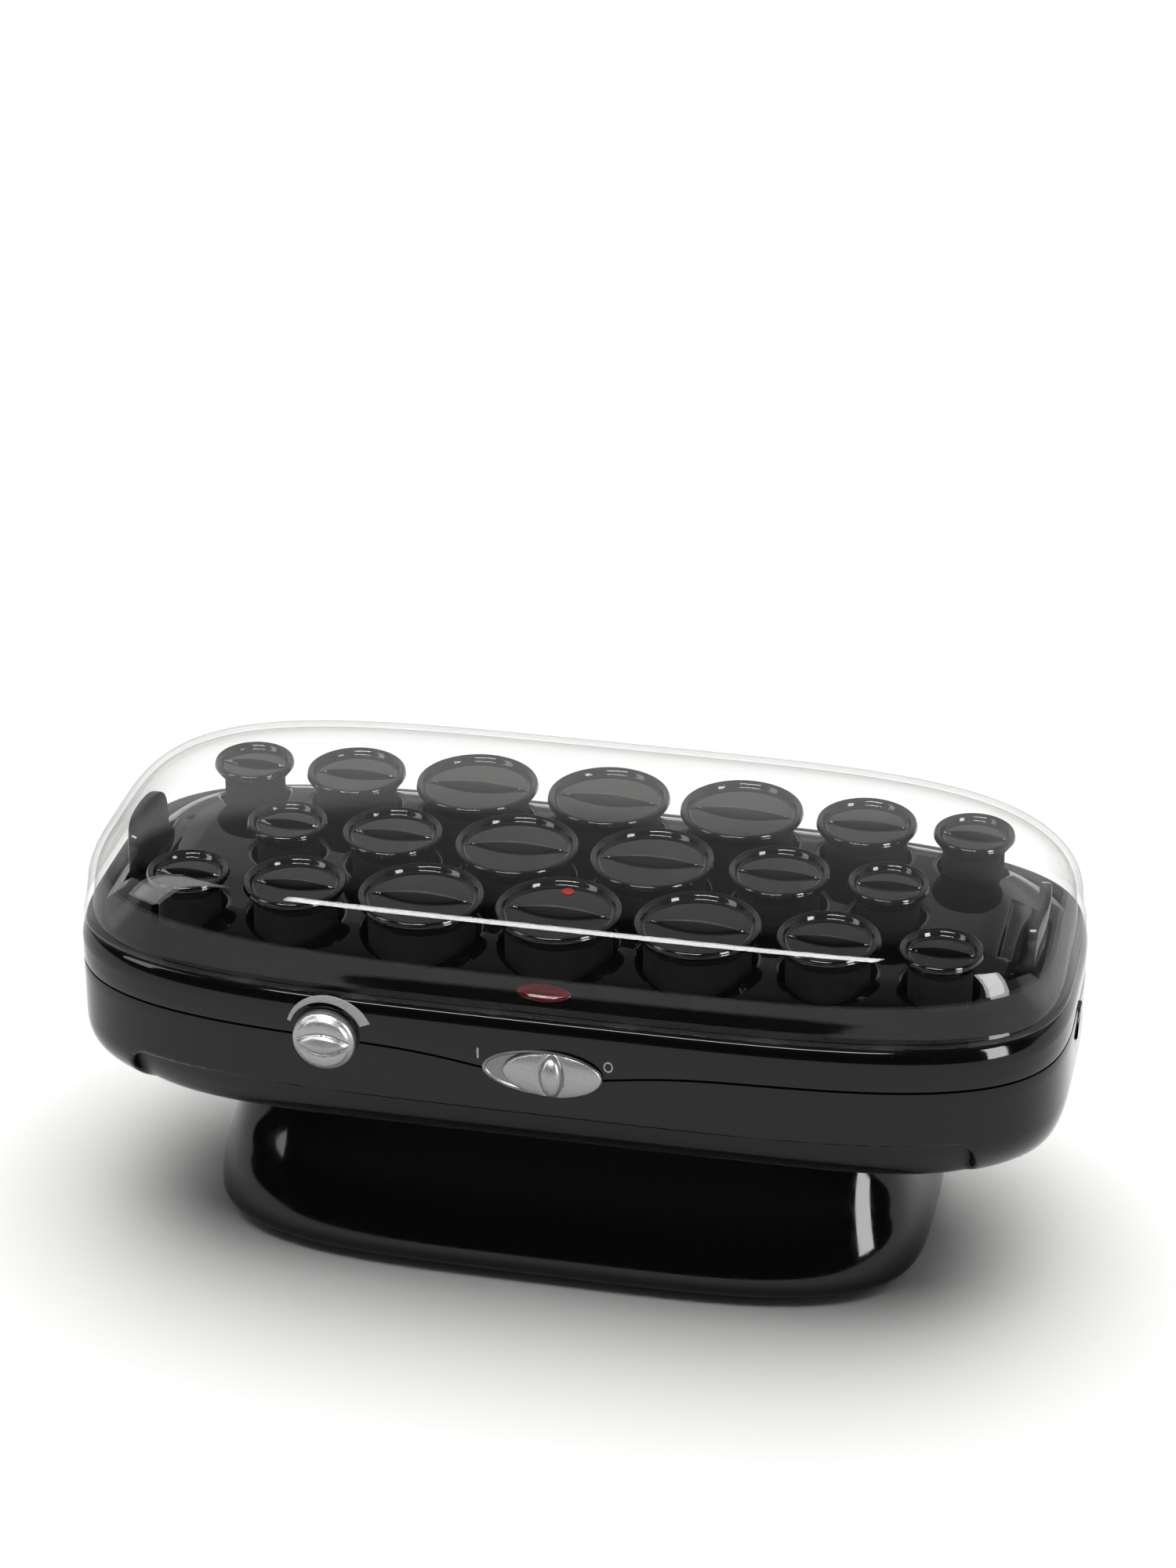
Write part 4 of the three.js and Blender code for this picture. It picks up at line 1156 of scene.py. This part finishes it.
class BuildGland(bpy.types.Operator):
    """Ribbed rubber gland that the mains cord would enter by"""

    bl_idname = "rollerset.build_gland"
    bl_label = "Cord gland"

    def execute(self, context):
        low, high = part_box("cord_gland")
        radius, bore = 6 * MM, 3.6 * MM
        start = -front_wall(high.x - 8 * MM) - 3.5 * MM
        reach = high.y - start
        outside = [(radius + 1 * MM, 0), (radius + 1 * MM, 1.2 * MM), (radius, 1.5 * MM)]
        for i in range(4):
            at = 5.0 * MM + i * 1.7 * MM
            slim = radius - 0.35 * MM * (i + 1)
            groove = slim - 0.8 * MM
            outside += [(slim, at), (groove, at + 0.3 * MM), (groove, at + 0.9 * MM)]
            outside.append((slim - 0.2 * MM, at + 1.2 * MM))
        outside += [(radius - 1.6 * MM, reach - 0.4 * MM), (radius - 2.0 * MM, reach)]
        inside = [(bore, reach), (bore, 1 * MM), (bore, 0)]
        rings = turned([(r, h) for r, h in outside if h <= reach] + inside, 64)
        turn = Matrix.Rotation(math.radians(-90), 4, "X")
        place = Matrix.Translation(((low.x + high.x) / 2, start, (low.z + high.z) / 2)) @ turn
        rubber = plain_technical("gland_rubber", (0.02, 0.02, 0.02), 0.8)
        mesh = lofted("gland_sleeve", rings, ring_shaped=True)
        add_piece("gland_sleeve", mesh, rubber, "root", ["cord_gland"], place)
        return {"FINISHED"}


class BuildStage(bpy.types.Operator):
    """Pale floor, soft studio light and the camera"""

    bl_idname = "rollerset.build_stage"
    bl_label = "Stage"

    def execute(self, context):
        s = context.scene.stage_settings
        self.floor(s)
        self.world(context.scene)
        self.lights()
        self.camera(context.scene, s)
        context.scene.view_settings.view_transform = "Standard"
        context.scene.cycles.transparent_max_bounces = 16
        return {"FINISHED"}

    @staticmethod
    def floor(s):
        half = 6.0
        vertices = [(-half, -half, 0), (half, -half, 0), (half, half, 0), (-half, half, 0)]
        finish = Finish("studio_floor", s.floor, 0.7)
        finish.set("Specular IOR Level", 0.0)
        finish.feed(finish.ramp(finish.noise(3, 2), 0.65, 0.8), "Roughness")
        mesh = mesh_of("studio_floor", vertices, [(0, 1, 2, 3)])
        mesh.materials.append(finish.material)
        floor = bpy.data.objects.new("studio_floor", mesh)
        bpy.context.scene.collection.objects.link(floor)

    @staticmethod
    def world(scene):
        """A white sweep behind the set, dark above and in front."""
        scene.world = bpy.data.worlds.new("studio")
        scene.world.use_nodes = True
        tree = scene.world.node_tree
        background = tree.nodes["Background"]
        place = tree.nodes.new("ShaderNodeTexCoord")
        parts = tree.nodes.new("ShaderNodeSeparateXYZ")
        tree.links.new(place.outputs["Generated"], parts.inputs[0])
        ramps = []
        # each ramp: axis, then from low, from high, to low, to high
        sweep = (
            ("Y", (-0.15, 0.25, 0.1, 1.0)), ("Z", (0.44, 0.515, 1.0, 0.32)), ("Z", (0.18, 0.36, 0.4, 1.0)),
        )
        for axis, ends in sweep:
            ramp = tree.nodes.new("ShaderNodeMapRange")
            ramp.interpolation_type = "SMOOTHSTEP"
            for socket, value in zip(RAMP_SOCKETS, ends):
                ramp.inputs[socket].default_value = value
            tree.links.new(parts.outputs[axis], ramp.inputs["Value"])
            ramps.append(ramp.outputs["Result"])
        product = ramps[0]
        for ramp in ramps[1:]:
            both = tree.nodes.new("ShaderNodeMath")
            both.operation = "MULTIPLY"
            tree.links.new(product, both.inputs[0])
            tree.links.new(ramp, both.inputs[1])
            product = both.outputs[0]
        backdrop = tree.nodes.new("ShaderNodeMix")
        path = tree.nodes.new("ShaderNodeLightPath")
        tree.links.new(path.outputs["Is Camera Ray"], backdrop.inputs["Factor"])
        tree.links.new(product, backdrop.inputs["A"])
        backdrop.inputs["B"].default_value = 0.95
        tree.links.new(backdrop.outputs[0], background.inputs["Strength"])
        background.inputs["Color"].default_value = (1.0, 0.995, 0.985, 1)

    @staticmethod
    def lights():
        aim = Vector((0, 0, 0.1))
        lights = [
            # name, place, width, height, watts
            ("front_strip", (-0.158, -1.25, 1.25), 1.13, 0.38, 34),
            ("right_window", (1.15, -0.75, 0.44), 0.34, 0.7, 14),
            ("left_soft", (-1.2, -0.7, 0.8), 0.45, 1.1, 8),
        ]
        for name, place, width, height, watts in lights:
            data = bpy.data.lights.new(name, "AREA")
            data.shape = "RECTANGLE"
            data.size, data.size_y = width, height
            data.energy = watts
            lamp = bpy.data.objects.new(name, data)
            lamp.location = place
            lamp.rotation_euler = (aim - Vector(place)).to_track_quat("-Z", "Y").to_euler()
            lamp.visible_camera = False
            lamp.visible_diffuse = False
            bpy.context.scene.collection.objects.link(lamp)
        ceiling = bpy.data.lights.new("ceiling_glow", "SUN")
        ceiling.energy = 3.35
        ceiling.angle = math.radians(70)
        glow = bpy.data.objects.new("ceiling_glow", ceiling)
        glow.rotation_euler = (math.radians(-12), 0, 0)
        glow.visible_glossy = False
        bpy.context.scene.collection.objects.link(glow)

    @staticmethod
    def camera(scene, s):
        data = bpy.data.cameras.new("camera")
        data.lens = s.lens
        data.sensor_width = 36
        camera = bpy.data.objects.new("camera", data)
        scene.collection.objects.link(camera)
        a, e = s.azimuth, s.elevation
        back = Vector((math.sin(a) * math.cos(e), -math.cos(a) * math.cos(e), math.sin(e)))
        turn = (-back).to_track_quat("-Z", "Y")
        aim = turn @ Vector((s.aim_right, s.aim_up, 0))
        camera.location = Vector((0, 0, CAP_TOP)) + aim + back * s.distance
        camera.rotation_mode = "QUATERNION"
        camera.rotation_quaternion = turn
        scene.camera = camera


class RollerSetPanel(bpy.types.Panel):
    """Lists the operators that build the roller set"""

    bl_idname = "VIEW3D_PT_roller_set"
    bl_label = "Roller Set"
    bl_space_type = "VIEW_3D"
    bl_region_type = "UI"
    bl_category = "Roller Set"

    def draw(self, context):
        for operator in OPERATORS:
            self.layout.operator(operator.bl_idname)
        for name in SETTINGS:
            box = self.layout.box()
            box.label(text=name.replace("_", " ").capitalize())
            group = getattr(context.scene, name)
            for key in group.bl_rna.properties.keys():
                if key not in ("rna_type", "name"):
                    box.prop(group, key)


SETTINGS = {
    "stage_settings": StageSettings,
    "case_settings": CaseSettings,
    "foot_settings": FootSettings,
    "tray_settings": TraySettings,
    "lid_settings": LidSettings,
    "roller_settings": RollerSettings,
    "control_settings": ControlSettings,
}
OPERATORS = (
    BuildStage,
    BuildUpperCase,
    BuildLowerCase,
    BuildFoot,
    BuildTray,
    BuildLid,
    BuildRollers,
    BuildKnob,
    BuildSwitch,
    BuildIndicator,
    BuildLatches,
    BuildHeater,
    BuildGland,
)


def register():
    for group in SETTINGS.values():
        bpy.utils.register_class(group)
    for name, group in SETTINGS.items():
        setattr(bpy.types.Scene, name, PointerProperty(type=group))
    for operator in OPERATORS:
        bpy.utils.register_class(operator)
    bpy.utils.register_class(RollerSetPanel)


def unregister():
    bpy.utils.unregister_class(RollerSetPanel)
    for operator in reversed(OPERATORS):
        bpy.utils.unregister_class(operator)
    for name in SETTINGS:
        delattr(bpy.types.Scene, name)
    for group in reversed(list(SETTINGS.values())):
        bpy.utils.unregister_class(group)


def main():
    register()
    for operator in OPERATORS:
        group, name = operator.bl_idname.split(".")
        getattr(getattr(bpy.ops, group), name)()


if __name__ == "__main__":
    main()
